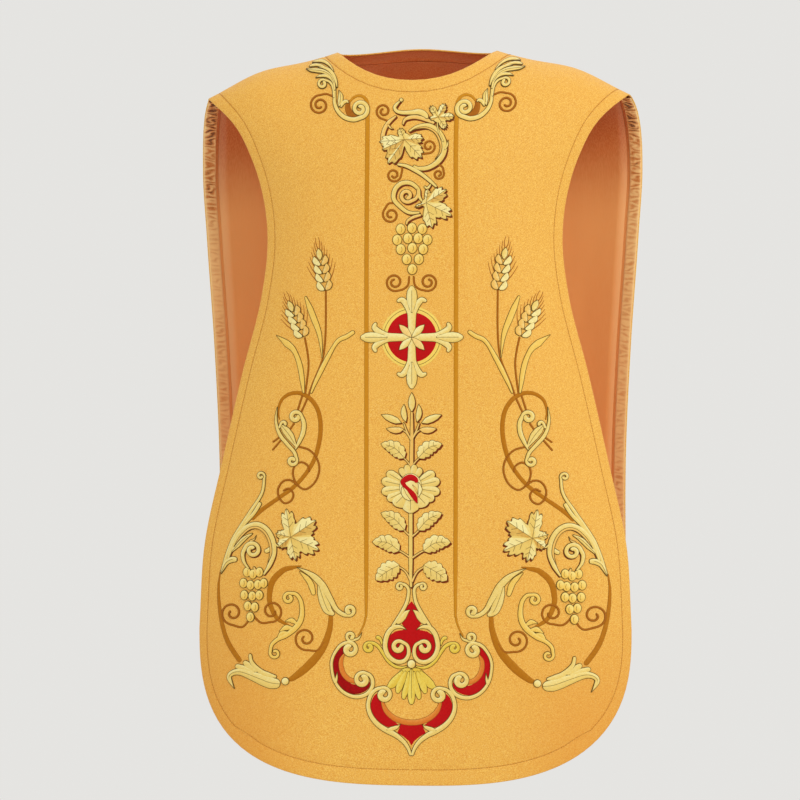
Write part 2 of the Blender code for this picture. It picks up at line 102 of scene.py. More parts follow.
# The finer cloth of this file
ACROSS_NECK = 10
ACROSS_SEAM = 14
DOWN = 76
# The rows of finer cloth that round the shoulder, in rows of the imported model's grid
BELOW_SEAM = np.array([1, 1.14, 1.28, 1.42, 1.56, 1.7, 1.85, 2, 2.33, 2.67, 3])
NECK_PLACES = 120
FOOT_PLACES = 240
SIDE_PLACES = 400
RELAX_ROUNDS = 150
SIDE_STITCH = 0.017  # the top stitching's distance from the side edges
FOOT_STITCH = 0.0215  # and from the foot
GROOVE_DEPTH = 0.0006
GROOVE_HALF = 0.0013
GROOVE_STEPS = (1.8, 0.9, 0.0, -0.9, -1.8)  # the groove's own lines, in half widths of it
LEAST_STEP = 0.0004
EDGE_STEPS = (0.0014, 0.0005, 0.0)  # the last lines before an edge, as distances from it
EDGE_ROUND = 0.0016  # the cloth's edge is rounded over this distance
EDGE_ROUND_DEPTH = 0.0007
THINNEST_ROUNDED = 0.0015  # a thinner wall keeps a plain edge
MIDDLE_MERGE = 0.00005
FAR = 1.0  # further than any distance from an edge that matters
STITCH_PITCH = 0.0036
STITCH_LENGTH = 0.0031
STITCH_HALF = 0.00042
STITCH_FLATNESS = 0.8
STITCH_SIDES = 6
# A stitch's rings as (place along it, width)
STITCH_RINGS = ((-0.5, 0.25), (-0.38, 0.85), (0.0, 1.0), (0.38, 0.85), (0.5, 0.25))
PUCKER_PITCH = 0.0075
PUCKER_STEP = 0.0009
PUCKER_WAVES = (0.011, 0.017, 0.026, 0.041, 0.067)  # lengths of the waves that make the gathers uneven
PUCKER_KNOT = 0.03  # distance between changes of their lean and strength
PUCKER_SEEDS = {1: 7, -1: 11}
# Distances of the ruched strip's lines from the edge
PUCKER_LINES = (0.0006, 0.0016, 0.0032, 0.0052, 0.0074, 0.0096, 0.0118, 0.0140, 0.0160, 0.0178, 0.0190)
RUCHED = 0.16  # length below the shoulder that is ruched most

# View of the photograph
VIEW_DISTANCE = 3.2
VIEW_AZIMUTH = math.radians(4.5)
VIEW_HEIGHT = -0.4967
VIEW_PLANE_Y = -0.13
VIEW_HALF_WIDTH = 0.544
MIDDLE_OFFSET = 0.0156
FLOOR_Z = -1.45
FLOOR_RADIUS = 2.1
LIGHT_AIM = (0, 0, -0.5)

# Embroidery, in millimetres apart from MM and BELOW_RIDGE
MM = 0.001
BELOW_RIDGE = 0.0005
CURL_RISE = 0.55  # millimetres that a band rises along its curl, so that it lies over itself
EDGE_SINK = -0.14  # height of a patch's outer ring, just inside the cloth
NO_VEIN = 20.0  # distance from a vein where there is none
NARROW_HALF = 1.3  # a band that is nowhere wider than twice this has the narrow profile
# Profiles of a band as (share of its half width, share of its crown)
NARROW_PROFILE = ((-1, -0.5), (-0.5, 0.9), (0.5, 0.9), (1, -0.5))
WIDE_PROFILE = ((-1, -0.4), (-0.88, 0.5), (-0.5, 0.9), (0, 1), (0.5, 0.9), (0.88, 0.5), (1, -0.4))
# Rings of a patch inside its outline, as (share of the way out, share of its crown)
PATCH_RINGS = ((0.965, 0.45), (0.85, 0.8), (0.6, 0.97), (0.3, 1.0))
LEAF_LEVEL = 0.45
GRAIN_PAIRS = 4
PLAIN_LINE = {"crown": 0.45, "contrast": 0.1, "step": 2.0}
OLIVE_MARK = {"finish": "olive", "crown": 0.2}


def srgb(red, green, blue):
    """A colour of the 0 to 255 scale as linear red, green, blue and alpha."""
    parts = [c / 255 for c in (red, green, blue)]
    return (*[p / 12.92 if p <= 0.04045 else ((p + 0.055) / 1.055) ** 2.4 for p in parts], 1.0)


# Surfaces of the worn cloth


def curve_at(rows, at, column=1):
    """The values of a table's column at places in its first column, on a smooth curve."""
    places = np.array([row[0] for row in rows])
    values = np.array([row[column] for row in rows])
    if places[0] > places[-1]:
        places, values = places[::-1], values[::-1]
    at = np.clip(at, places[0], places[-1])
    slopes = np.gradient(values, places)
    k = np.clip(np.searchsorted(places, at, side="right") - 1, 0, len(places) - 2)
    span = places[k + 1] - places[k]
    t = (at - places[k]) / span
    start = (1 + 2 * t) * (1 - t) ** 2 * values[k] + t * (1 - t) ** 2 * span * slopes[k]
    end = t * t * (3 - 2 * t) * values[k + 1] - t * t * (1 - t) * span * slopes[k + 1]
    return start + end


def ridge_height(x):
    fall = SHOULDER_SLOPE * (np.hypot(x, RIDGE_ROUND) - RIDGE_ROUND)
    return RIDGE_TOP - fall + SWELL * np.exp(-(((np.abs(x) - SWELL_AT) / SWELL_REACH) ** 2))


def round_reach(x):
    return ROUND_REACH * (1 - ROUND_LOSS * (x / SHOULDER_HALF) ** 2)


class Panel:
    """The front or the back as a surface over x and run, the way down the cloth from the seam."""

    def __init__(self, facing, side, depth_rows, foot, neck_drop):
        self.facing = facing
        self.side = side
        self.depth_rows = depth_rows
        self.foot = foot
        self.neck_drop = neck_drop

    def depth(self, x, z):
        middle, turn_back, power = (curve_at(self.depth_rows, z, column) for column in (1, 2, 3))
        return middle - turn_back * np.abs(x / curve_at(self.side, z)) ** power

    def run_at(self, x, z):
        reach = round_reach(x)
        drop = np.maximum(ridge_height(x) - z, 0.0)
        rounded = reach * np.arccos(1 - np.minimum(drop / reach, 1.0))
        return np.where(drop < reach, rounded, drop - reach + reach * math.pi / 2)

    def bare(self, x, run):
        """Points of the outer face, with x and run as arrays."""
        x, run = np.asarray(x, float), np.asarray(run, float)
        reach = round_reach(x)
        turn = np.clip(run / reach, 0.0, math.pi / 2)
        drop = reach * (1 - np.cos(turn)) + np.maximum(run - reach * math.pi / 2, 0.0)
        z = ridge_height(x) - drop
        y = self.facing * (self.depth(x, z) * np.sin(turn) + HALF_SEAM)
        return np.stack([x, y, z], axis=-1)

    def slopes(self, x, run, step=1e-4):
        across = (self.bare(x + step, run) - self.bare(x - step, run)) / (2 * step)
        low = np.maximum(run - step, 0.0)
        down = (self.bare(x, run + step) - self.bare(x, low)) / (run + step - low)[..., None]
        return across, down

    def point(self, x, run, out=0.0):
        """Points that far outside the cloth's outer face."""
        x, run = np.asarray(x, float), np.asarray(run, float)
        across, down = self.slopes(x, run)
        normal = np.cross(across, down) * self.facing
        normal /= np.linalg.norm(normal, axis=-1, keepdims=True)
        return self.bare(x, run) + normal * np.asarray(out)[..., None]

    def seen(self, x, z, out=0.0):
        """Points of the cloth that are seen at x and z from straight ahead."""
        return self.point(x, self.run_at(x, z), out)

    def inset(self, places, distance):
        """A line of places moved that far to its left, measured on the cloth."""
        along = np.gradient(places, axis=0)
        across, down = self.slopes(places[:, 0], places[:, 1])
        a, b, c = ((p * q).sum(-1) for p, q in ((across, across), (across, down), (down, down)))
        square = np.stack([-along[:, 1], along[:, 0]], axis=1)
        inward = np.stack([c * square[:, 0] - b * square[:, 1], a * square[:, 1] - b * square[:, 0]],
                          axis=1)
        inward /= (a * c - b * b)[:, None]
        inward *= distance / np.sqrt((inward * square).sum(1))[:, None]
        return places + inward

    def even(self, line, count):
        """count places spaced evenly along a line of them, as measured on the cloth."""
        line = np.array(line)
        solid = self.bare(line[:, 0], line[:, 1])
        along = np.concatenate([[0], np.cumsum(np.linalg.norm(np.diff(solid, axis=0), axis=1))])
        at = np.linspace(0, along[-1], count)
        return np.stack([np.interp(at, along, line[:, k]) for k in range(2)], axis=1)

    def length(self, line):
        solid = self.bare(line[:, 0], line[:, 1])
        return float(np.linalg.norm(np.diff(solid, axis=0), axis=1).sum())

    def neck_line(self):
        x = NECK_HALF * np.sin(np.linspace(0, math.pi / 2, NECK_PLACES))
        drop = self.neck_drop * (1 - (x / NECK_HALF) ** 2)
        return np.stack([x, self.run_at(x, ridge_height(x) - drop)], axis=1)

    def foot_line(self, first, last):
        """Part of the rounded foot, between two shares of the way from its side to its middle."""
        widest_z, widest = self.side[-1]
        angle = np.linspace(first, last, FOOT_PLACES) * math.pi / 2
        x = widest * np.abs(np.cos(angle)) ** (2 / CORNER_POWER)
        x[angle > math.pi / 2 - 1e-9] = 0.0
        z = widest_z - (widest_z - self.foot) * np.sin(angle) ** (2 / CORNER_POWER)
        return np.stack([x, self.run_at(x, z)], axis=1)

    def side_line(self):
        """The edge from the shoulder's tip down to the middle of the rounded corner."""
        z = np.linspace(self.side[0][0], self.side[-1][0], SIDE_PLACES)[1:]
        x = curve_at(self.side, z)
        edge = np.stack([x, self.run_at(x, z)], axis=1)
        return np.concatenate([[(SHOULDER_HALF, 0.0)], edge, self.foot_line(0, 0.5)[1:]])

    def base_grid(self):
        """Places of a half panel: row 0 is the neck's edge, row 1 its stitch line and the seam,
        the last row the foot and the last column the side edge."""
        across = ACROSS_NECK + ACROSS_SEAM
        neck = self.even(self.neck_line(), ACROSS_NECK + 1)
        seam = np.linspace((NECK_HALF + NECK_MARGIN, 0.0), (SHOULDER_HALF - EDGE_MARGIN, 0.0), ACROSS_SEAM)
        side = self.even(self.side_line(), DOWN)
        foot = self.even(self.foot_line(1, 0.5), across + 1)
        below_neck = self.inset(neck, NECK_MARGIN)
        below_neck[0, 0] = 0.0
        inside_side = self.inset(side, EDGE_MARGIN)
        inside_side[0] = seam[-1]
        inside_foot = self.inset(foot[::-1], EDGE_MARGIN)[::-1]
        inside_foot[0, 0] = 0.0
        corner = 0.5 * (inside_side[-1] + inside_foot[-1])
        grid = np.zeros((DOWN + 1, across + 1, 2))
        grid[0, : ACROSS_NECK + 1] = neck
        grid[0, ACROSS_NECK + 1 :] = (*seam[1:], (SHOULDER_HALF, 0.0))
        grid[1:, -1] = side
        grid[-1] = foot
        top = np.concatenate([below_neck[:-1], seam])
        bottom = np.concatenate([inside_foot[:-2], [corner]])
        inner = self.even([top[0], bottom[0]], DOWN - 1)
        outer = np.concatenate([inside_side[:-2], [corner]])
        grid[1:-1, :-1] = relaxed(coons(top, bottom, inner, outer), RELAX_ROUNDS)
        return grid


def coons(top, bottom, inner, outer):
    """The grid that joins two rows of places and the two columns at their ends."""
    u = np.linspace(0, 1, len(top))[None, :, None]
    v = np.linspace(0, 1, len(inner))[:, None, None]
    rows = (1 - v) * top[None] + v * bottom[None]
    columns = (1 - u) * inner[:, None] + u * outer[:, None]
    ends = (1 - v) * ((1 - u) * top[0] + u * top[-1]) + v * ((1 - u) * bottom[0] + u * bottom[-1])
    return rows + columns - ends


def relaxed(grid, rounds):
    """The grid with its inner places spread evenly without folds, its border kept."""
    for _ in range(rounds):
        along = (grid[1:-1, 2:] - grid[1:-1, :-2]) / 2
        down = (grid[2:, 1:-1] - grid[:-2, 1:-1]) / 2
        twist = (grid[2:, 2:] - grid[2:, :-2] - grid[:-2, 2:] + grid[:-2, :-2]) / 4
        a, b, c = ((p * q).sum(-1)[..., None] for p, q in ((down, down), (along, down), (along, along)))
        sideways = grid[1:-1, 2:] + grid[1:-1, :-2]
        upright = grid[2:, 1:-1] + grid[:-2, 1:-1]
        grid[1:-1, 1:-1] = (a * sideways + c * upright - 2 * b * twist) / (2 * (a + c))
    return grid


FRONT = Panel(-1, FRONT_SIDE, FRONT_DEPTH, foot=-1.018, neck_drop=0.0775)
BACK = Panel(1, BACK_SIDE, BACK_DEPTH, foot=-1.045, neck_drop=0.014)


# Shader maths


class Value:
    """A shader socket that takes part in sums, so that shader maths reads as Python."""

    def __init__(self, paint, socket):
        self.paint = paint
        self.socket = socket

    def __add__(self, other):
        return self.paint.math("ADD", self, other)

    def __sub__(self, other):
        return self.paint.math("SUBTRACT", self, other)

    def __rsub__(self, other):
        return self.paint.math("SUBTRACT", other, self)

    def __mul__(self, other):
        return self.paint.math("MULTIPLY", self, other)

    __radd__ = __add__


class Paint:
    """A material's node tree, with its Principled shader."""

    def __init__(self, name, roughness=0.5, sheen=0.0, shine=0.5):
        self.material = bpy.data.materials.new(name)
        self.material.use_nodes = True
        self.tree = self.material.node_tree
        self.shader = self.tree.nodes["Principled BSDF"]
        self.shader.inputs["Roughness"].default_value = roughness
        self.shader.inputs["Sheen Weight"].default_value = sheen
        self.shader.inputs["Sheen Roughness"].default_value = 0.35
        self.shader.inputs["Specular IOR Level"].default_value = shine

    def put(self, value, socket):
        """Gives a socket a link or a plain value."""
        if isinstance(value, Value):
            self.tree.links.new(value.socket, socket)
        elif hasattr(value, "__len__") and socket.type == "VECTOR":
            socket.default_value = value[:3]
        else:
            socket.default_value = value

    def node(self, kind, settings=None, output=0, **sockets):
        made = self.tree.nodes.new("ShaderNode" + kind)
        for name, value in (settings or {}).items():
            setattr(made, name, value)
        for name, value in sockets.items():
            place = int(name[1:]) if name[0] == "i" and name[1:].isdigit() else name.replace("_", " ")
            self.put(value, made.inputs[place])
        return Value(self, made.outputs[output])

    def math(self, operation, *values):
        sockets = {f"i{k}": value for k, value in enumerate(values)}
        return self.node("Math", {"operation": operation}, **sockets)

    def between(self, value, low, high):
        """0 below low, 1 above high, and smooth in between. low may be the higher of the two."""
        smooth = {"interpolation_type": "SMOOTHSTEP"}
        return self.node("MapRange", smooth, i0=value, i1=low, i2=high, i3=0.0, i4=1.0)

    def mix(self, factor, low, high):
        """The colour low where factor is 0 and high where it is 1."""
        colours = {"data_type": "RGBA", "blend_type": "MIX"}
        return self.node("Mix", colours, output=2, i0=factor, i6=low, i7=high)

    def place(self, scale=(1, 1, 1), uv=None):
        if uv:
            start = self.node("UVMap", {"uv_map": uv})
        else:
            start = self.node("TexCoord", output="Object")
        return self.node("Mapping", {"vector_type": "POINT"}, i0=start, i3=scale)

    def noise(self, scale, detail=2.0, stretch=(1, 1, 1), uv=None, roughness=0.55):
        place = self.place(stretch, uv)
        return self.node("TexNoise", Vector=place, Scale=scale, Detail=detail, Roughness=roughness)

    def attribute(self, name):
        return self.node("Attribute", {"attribute_name": name}, output="Fac")

    def bump(self, height, distance, strength):
        return self.node("Bump", Height=height, Distance=distance, Strength=strength)

    def finish(self, colour, roughness=None, normal=None):
        for socket, value in (("Base Color", colour), ("Roughness", roughness), ("Normal", normal)):
            if value is not None:
                self.put(value, self.shader.inputs[socket])
        return self.material


def gold_cloth():
    """Stiff gold cloth with fine dark specks of metallic yarn, and pale specks painted in as the yarn's
    glints.
    """
    paint = Paint("gold_cloth", sheen=0.03, shine=0.2)
    slow = paint.noise(5.0, 2.0)
    grain = paint.noise(640.0, 3.0, (1.0, 1.0, 1.4), roughness=0.7)
    fine = paint.noise(1500.0, 1.0, (0.6, 1.0, 1.6))
    colour = paint.mix(paint.between(grain, 0.34, 0.68), srgb(226, 156, 56), srgb(253, 204, 96))
    # Painted highlight: pale specks where the fine noise is high stand in for glints of the metallic yarn.
    colour = paint.mix(paint.between(fine, 0.56, 0.70) * 0.5, colour, srgb(255, 230, 150))
    colour = paint.mix(paint.between(fine, 0.42, 0.30) * 0.3, colour, srgb(200, 128, 42))
    colour = paint.mix(paint.between(slow, 0.30, 0.70) * 0.16, colour, srgb(238, 170, 72))
    across = paint.node("SeparateXYZ", Vector=paint.place())
    height = Value(paint, across.socket.node.outputs["Z"])
    aside = paint.math("ABSOLUTE", across)
    # Painted shade: the lower outer corners, where the cloth turns back, are tinted a darker orange.
    corner = paint.between(height, -0.70, -0.98) * paint.between(aside, 0.10, 0.24)
    colour = paint.mix(corner * 0.4, colour, srgb(222, 136, 44))
    weave = paint.node("TexWave", {"bands_direction": "Z"}, Vector=paint.place(), Scale=280.0,
                       Distortion=3.0, Detail=1.0)
    yarn = grain * 0.6 + fine * 0.5 + weave * 0.25
    roughness = 0.62 - paint.between(fine, 0.5, 0.7) * 0.22
    return paint.finish(colour, roughness, paint.bump(yarn, 0.00035, 0.6))


def rust_satin():
    """Lining satin, dark under the shoulders and paler where light falls in further down."""
    paint = Paint("rust_satin", sheen=0.05)
    slow = paint.noise(7.0, 3.0, (1.0, 1.0, 0.25))
    thread = paint.noise(900.0, 2.0, (1.0, 1.0, 0.08))
    height = paint.node("SeparateXYZ", output="Z", Vector=paint.place())
    lower = paint.between(height + (slow - 0.5) * 0.06, -0.09, -0.25)
    colour = paint.mix(lower, srgb(190, 88, 30), srgb(250, 178, 104))
    colour = paint.mix(paint.between(slow, 0.32, 0.68) * 0.3, colour, srgb(216, 120, 54))
    colour = paint.mix(paint.between(thread, 0.35, 0.65) * 0.2, colour, srgb(246, 182, 116))
    return paint.finish(colour, 0.34 + thread * 0.12, paint.bump(thread, 0.0002, 0.4))


def puckered_satin():
    paint = Paint("puckered_gold_satin", sheen=0.05)
    # Painted shade and highlight: the tone attribute darkens the valleys between the gathers and lightens
    # their ridges.
    pucker_shade = paint.attribute("tone")
    grain = paint.noise(600.0, 3.0)
    colour = paint.mix(paint.between(pucker_shade, 0.05, 0.45), srgb(112, 50, 12), srgb(212, 130, 58))
    colour = paint.mix(paint.between(pucker_shade, 0.4, 0.95), colour, srgb(252, 206, 136))
    colour = paint.mix(paint.between(grain, 0.4, 0.7) * 0.25, colour, srgb(255, 222, 152))
    return paint.finish(colour, 0.42 + grain * 0.12, paint.bump(grain, 0.0003, 0.5))


THREAD_ROUGHNESS = 0.45
OLIVE = (100, 72, 14)
BROWN = (150, 88, 18)


def thread(name, light, middle, dark, outline, line_mm, shine):
    """Laid thread: rim is the distance from the patch's edge, core that from its vein, and tone
    how light it is. The stitches run across the patch, on its own map."""
    light, middle, dark, outline = (srgb(*colour) for colour in (light, middle, dark, outline))
    paint = Paint(f"{name}_thread", THREAD_ROUGHNESS, shine=shine)
    tone = paint.attribute("tone")
    rim = paint.attribute("rim")
    core = paint.attribute("core")
    wander = paint.noise(260.0, 2.0, uv="stitch")
    strand = paint.node("TexWave", {"bands_direction": "X", "wave_profile": "SIN"},
                        Vector=paint.place(uv="stitch"), Scale=520.0, Distortion=1.2, Detail=1.0,
                        Detail_Scale=2.0)
    shade = tone + (wander - 0.5) * 0.35
    colour = paint.mix(paint.between(shade, 0.05, 0.5), dark, middle)
    colour = paint.mix(paint.between(shade, 0.5, 0.95), colour, light)
    # Painted shade: darker in the grooves between the strands, where the strand wave that also shapes the
    # bump is low.
    colour = paint.mix(paint.between(strand, 0.55, 0.1) * 0.22, colour, dark)
    line = paint.between(rim, line_mm * MM, line_mm * MM * 0.55)
    vein = paint.between(core, 0.5 * MM, 0.25 * MM)
    edge = paint.math("MAXIMUM", line, vein * 0.8)
    colour = paint.mix(edge, colour, outline)
    height = strand * 0.55 + wander * 0.3
    roughness = THREAD_ROUGHNESS + (strand - 0.5) * 0.1
    return paint.finish(colour, roughness, paint.bump(height, 0.00025, 0.7))


# Threads as (name, light, middle, dark, outline, width of the outline in mm, shine)
THREADS = (
    ("cream", (255, 244, 172), (244, 212, 114), (210, 150, 58), OLIVE, 1.25, 0.2),
    ("gold", (255, 230, 134), (248, 204, 92), (214, 150, 46), OLIVE, 1.2, 0.2),
    ("tan", (222, 158, 46), (206, 138, 26), (172, 104, 12), BROWN, 0.5, 0.1),
    ("bronze", (206, 138, 34), (184, 114, 16), (150, 86, 8), BROWN, 0.5, 0.1),
    ("peach", (255, 230, 150), (246, 198, 100), (216, 138, 56), OLIVE, 1.25, 0.2),
    ("yellow", (252, 230, 112), (236, 200, 66), (186, 142, 34), OLIVE, 1.25, 0.2),
    ("ring", (254, 224, 112), (246, 206, 84), (222, 166, 46), OLIVE, 0.9, 0.2),
    ("red", (214, 20, 24), (194, 8, 12), (140, 2, 2), (112, 8, 8), 0.5, 0.1),
    ("orange", (240, 160, 68), (226, 126, 36), (186, 86, 20), BROWN, 0.9, 0.2),
    ("red_brown", (160, 70, 22), (128, 52, 14), (98, 36, 8), (116, 44, 12), 0.3, 0.1),
    ("brown", (192, 122, 34), (170, 98, 18), (138, 74, 8), (124, 68, 8), 0.6, 0.1),
    ("awn", (196, 124, 48), (172, 102, 34), (146, 82, 22), BROWN, 0.05, 0.1),
    ("olive", (132, 100, 34), (112, 82, 24), (92, 64, 16), OLIVE, 0.02, 0.2),
    ("sewing", (214, 150, 62), (200, 136, 50), (172, 112, 38), BROWN, 0.02, 0.2),
)
FINISHES = {"gold_cloth": gold_cloth(), "rust_satin": rust_satin(), "puckers": puckered_satin()}
for row in THREADS:
    FINISHES[row[0]] = thread(*row)


# Making pieces


def mesh_piece(name, points, faces, finishes, slots=None, attributes=None, uv=None):
    """An object from arrays, with a finish for each face, float attributes and a map."""
    mesh = bpy.data.meshes.new(name)
    mesh.from_pydata(points.tolist(), [], faces)
    for finish in finishes:
        mesh.materials.append(finish)
    if slots is not None:
        mesh.polygons.foreach_set("material_index", np.asarray(slots, np.int32))
    for label, values in (attributes or {}).items():
        made = mesh.attributes.new(label, "FLOAT", "POINT")
        made.data.foreach_set("value", np.asarray(values, np.float32))
    if uv is not None:
        layer = mesh.uv_layers.new(name="stitch")
        corners = np.zeros(len(mesh.loops), np.int32)
        mesh.loops.foreach_get("vertex_index", corners)
        layer.data.foreach_set("uv", np.asarray(uv, np.float32)[corners].ravel())
    mesh.shade_smooth()
    piece = bpy.data.objects.new(name, mesh)
    bpy.context.scene.collection.objects.link(piece)
    return piece


def apply_all(piece):
    """Applies a piece's modifiers."""
    bpy.ops.object.select_all(action="DESELECT")
    bpy.context.view_layer.objects.active = piece
    piece.select_set(True)
    for modifier in list(piece.modifiers):
        bpy.ops.object.modifier_apply(modifier=modifier.name)


def settle(piece, slot, *nodes):
    """Lets a piece ride on the garment and hides the solids that it stands for. slot, the name of its
    finish, is not used.
    """
    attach(piece, "root")
    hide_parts(*nodes)


# Cloth


def fine_steps(count, margin, stitch):
    """Steps along a grid whose last cell is the margin: its edge is rounded, and the groove of the
    stitching gets lines of its own. margin and stitch are distances from the edge."""
    groove = [stitch + step * GROOVE_HALF for step in GROOVE_STEPS]
    inside = [offset for offset in groove if offset < margin - LEAST_STEP]
    offsets = [margin, *inside, stitch * 0.6, stitch * 0.3, *EDGE_STEPS]
    return np.array([*range(count - 1), *[count - offset / margin for offset in offsets]])


def cloth(name, panel, finishes, wall, out=0.0, lined=False, loose=0.0):
    """A panel as a fine shell: its half grid, mirrored, with its wall on the inner side."""
    grid = panel.base_grid()
    last_row, last_column = grid.shape[0] - 1, grid.shape[1] - 1
    columns = fine_steps(last_column, EDGE_MARGIN, SIDE_STITCH)
    rows = fine_steps(last_row, EDGE_MARGIN, FOOT_STITCH)
    neck_rows = 1 - fine_steps(1, NECK_MARGIN, NECK_MARGIN - GROOVE_HALF)[::-1]
    rows = np.concatenate([neck_rows[neck_rows < 1.0], BELOW_SEAM, rows[rows >= BELOW_SEAM[-1] + 0.5]])
    if lined:
        rows = rows[(rows >= 1.0) & (rows <= last_row - 1)]
        columns = columns[columns <= last_column - 1]
    top = np.clip(rows.astype(int), 0, last_row - 1)
    left = np.clip(columns.astype(int), 0, last_column - 1)
    v, u = (rows - top)[:, None, None], (columns - left)[None, :, None]
    upper = grid[top][:, left] * (1 - u) + grid[top][:, left + 1] * u
    lower = grid[top + 1][:, left] * (1 - u) + grid[top + 1][:, left + 1] * u
    places = upper * (1 - v) + lower * v
    from_side = (last_column - columns) * EDGE_MARGIN
    from_foot = (last_row - rows) * EDGE_MARGIN
    from_neck = np.where(rows < 2, rows * NECK_MARGIN, FAR)
    groove = np.zeros(places.shape[:2])
    edge = np.zeros(places.shape[:2])
    in_neck = (columns <= ACROSS_NECK)[None, :]
    above_corner = (rows[:, None] >= 1.0) & (from_foot[:, None] > FOOT_STITCH)
    for offset, stitch, where, stitched in (
        (from_side[None, :], SIDE_STITCH, rows[:, None] >= 1.0, above_corner),
        (from_foot[:, None], FOOT_STITCH, True, from_side[None, :] > SIDE_STITCH),
        (from_neck[:, None], NECK_MARGIN - GROOVE_HALF, in_neck, in_neck),
    ):
        hollow = np.exp(-(((offset - stitch) / GROOVE_HALF) ** 2)) * stitched
        groove = np.maximum(groove, np.broadcast_to(hollow, groove.shape))
        rounded = np.clip(1 - offset / EDGE_ROUND, 0, 1) ** 2 * where
        edge = np.maximum(edge, np.broadcast_to(rounded, edge.shape))
    x, run = places[..., 0], places[..., 1]
    ripple = loose * (1 + np.sin(x * 60 + 3 * np.sin(run * 4)) * np.sin(run * 9 + 1)) / 2
    rounding = EDGE_ROUND_DEPTH * edge * (wall > THINNEST_ROUNDED)
    points = panel.point(x, run, out - ripple - GROOVE_DEPTH * groove - rounding)
    points[..., 1] -= panel.facing * SEAM_DRAWN * np.clip(1 - run / SEAM_FADE, 0, 1)
    points[:, columns == 0, 0] = 0.0
    count = len(columns)
    faces = []
    for row in range(len(rows) - 1):
        for column in range(count - 1):
            if rows[row] < 1 and columns[column] >= ACROSS_NECK:
                continue
            a = row * count + column
            face = (a, a + count, a + count + 1, a + 1)
            faces.append(face if panel.facing < 0 else face[::-1])
    used = np.unique(np.array(faces))
    places_of = np.full(points.shape[0] * count, -1)
    places_of[used] = np.arange(len(used))
    kept = points.reshape(-1, 3)[used]
    piece = mesh_piece(name, kept, [[int(places_of[v]) for v in face] for face in faces], finishes)
    mirror = piece.modifiers.new("other_half", "MIRROR")
    mirror.merge_threshold = MIDDLE_MERGE
    wall_maker = piece.modifiers.new("wall", "SOLIDIFY")
    wall_maker.thickness = wall
    wall_maker.offset = -1
    wall_maker.material_offset = min(1, len(finishes) - 1)
    apply_all(piece)
    return piece


def stitch_line(panel, places, sink):
    """Small slanting stitches along a line of places: points and faces."""
    count = int(panel.length(places) / STITCH_PITCH)
    at = panel.even(places, 2 * count + 1)
    starts = panel.point(at[:-1:2, 0], at[:-1:2, 1], -sink)
    ends = panel.point(at[1::2, 0], at[1::2, 1], -sink)
    outs = panel.point(at[:-1:2, 0], at[:-1:2, 1], 1.0) - panel.bare(at[:-1:2, 0], at[:-1:2, 1])
    points, faces = [], []
    sides = STITCH_SIDES
    for start, end, out in zip(starts, ends, outs):
        way = (end - start) / np.linalg.norm(end - start)
        side = np.cross(out, way)
        middle = 0.5 * (start + end)
        first = len(points)
        for share, width in STITCH_RINGS:
            for k in range(sides):
                angle = 2 * math.pi * k / sides
                lift = math.sin(angle) * STITCH_HALF * STITCH_FLATNESS
                reach = math.cos(angle) * STITCH_HALF * width
                points.append(middle + way * share * STITCH_LENGTH + side * reach + out * lift * width)
        for ring in range(len(STITCH_RINGS) - 1):
            for k in range(sides):
                a, b = first + ring * sides + k, first + ring * sides + (k + 1) % sides
                faces.append((a, b, b + sides, a + sides))
        faces.append(tuple(first + k for k in reversed(range(sides))))
        faces.append(tuple(first + (len(STITCH_RINGS) - 1) * sides + k for k in range(sides)))
    return np.array(points), faces


def top_stitching(name, panel):
    """The line of stitches that holds the turned-in edges, round the panel and round the neck."""
    grid = panel.base_grid()
    across, down = SIDE_STITCH / EDGE_MARGIN, FOOT_STITCH / EDGE_MARGIN
    by_side = grid[1:-1, -1] + (grid[1:-1, -2] - grid[1:-1, -1]) * across
    by_foot = grid[-1, :-1] + (grid[-2, :-1] - grid[-1, :-1]) * down
    side = np.concatenate([by_side[:-1], by_foot[:-1][::-1]])
    neck = grid[0] + (grid[1] - grid[0]) * (1 - GROOVE_HALF / NECK_MARGIN)
    neck = neck[: ACROSS_NECK + 1]
    points, faces = [], []
    for line in (side, neck):
        made, made_faces = stitch_line(panel, line, GROOVE_DEPTH * 0.35)
        for hand in (1, -1):
            start = sum(len(p) for p in points)
            points.append(made * (hand, 1, 1))
            faces += [tuple(start + v for v in (face if hand > 0 else face[::-1])) for face in made_faces]
    points = np.concatenate(points)
    plain = np.full(len(points), 0.6)
    wide = np.full(len(points), 0.02)
    uv = np.stack([points[:, 2], points[:, 0]], axis=1)
    return mesh_piece(name, points, faces, [FINISHES["sewing"]],
                      attributes={"tone": plain, "rim": wide, "core": wide}, uv=uv)


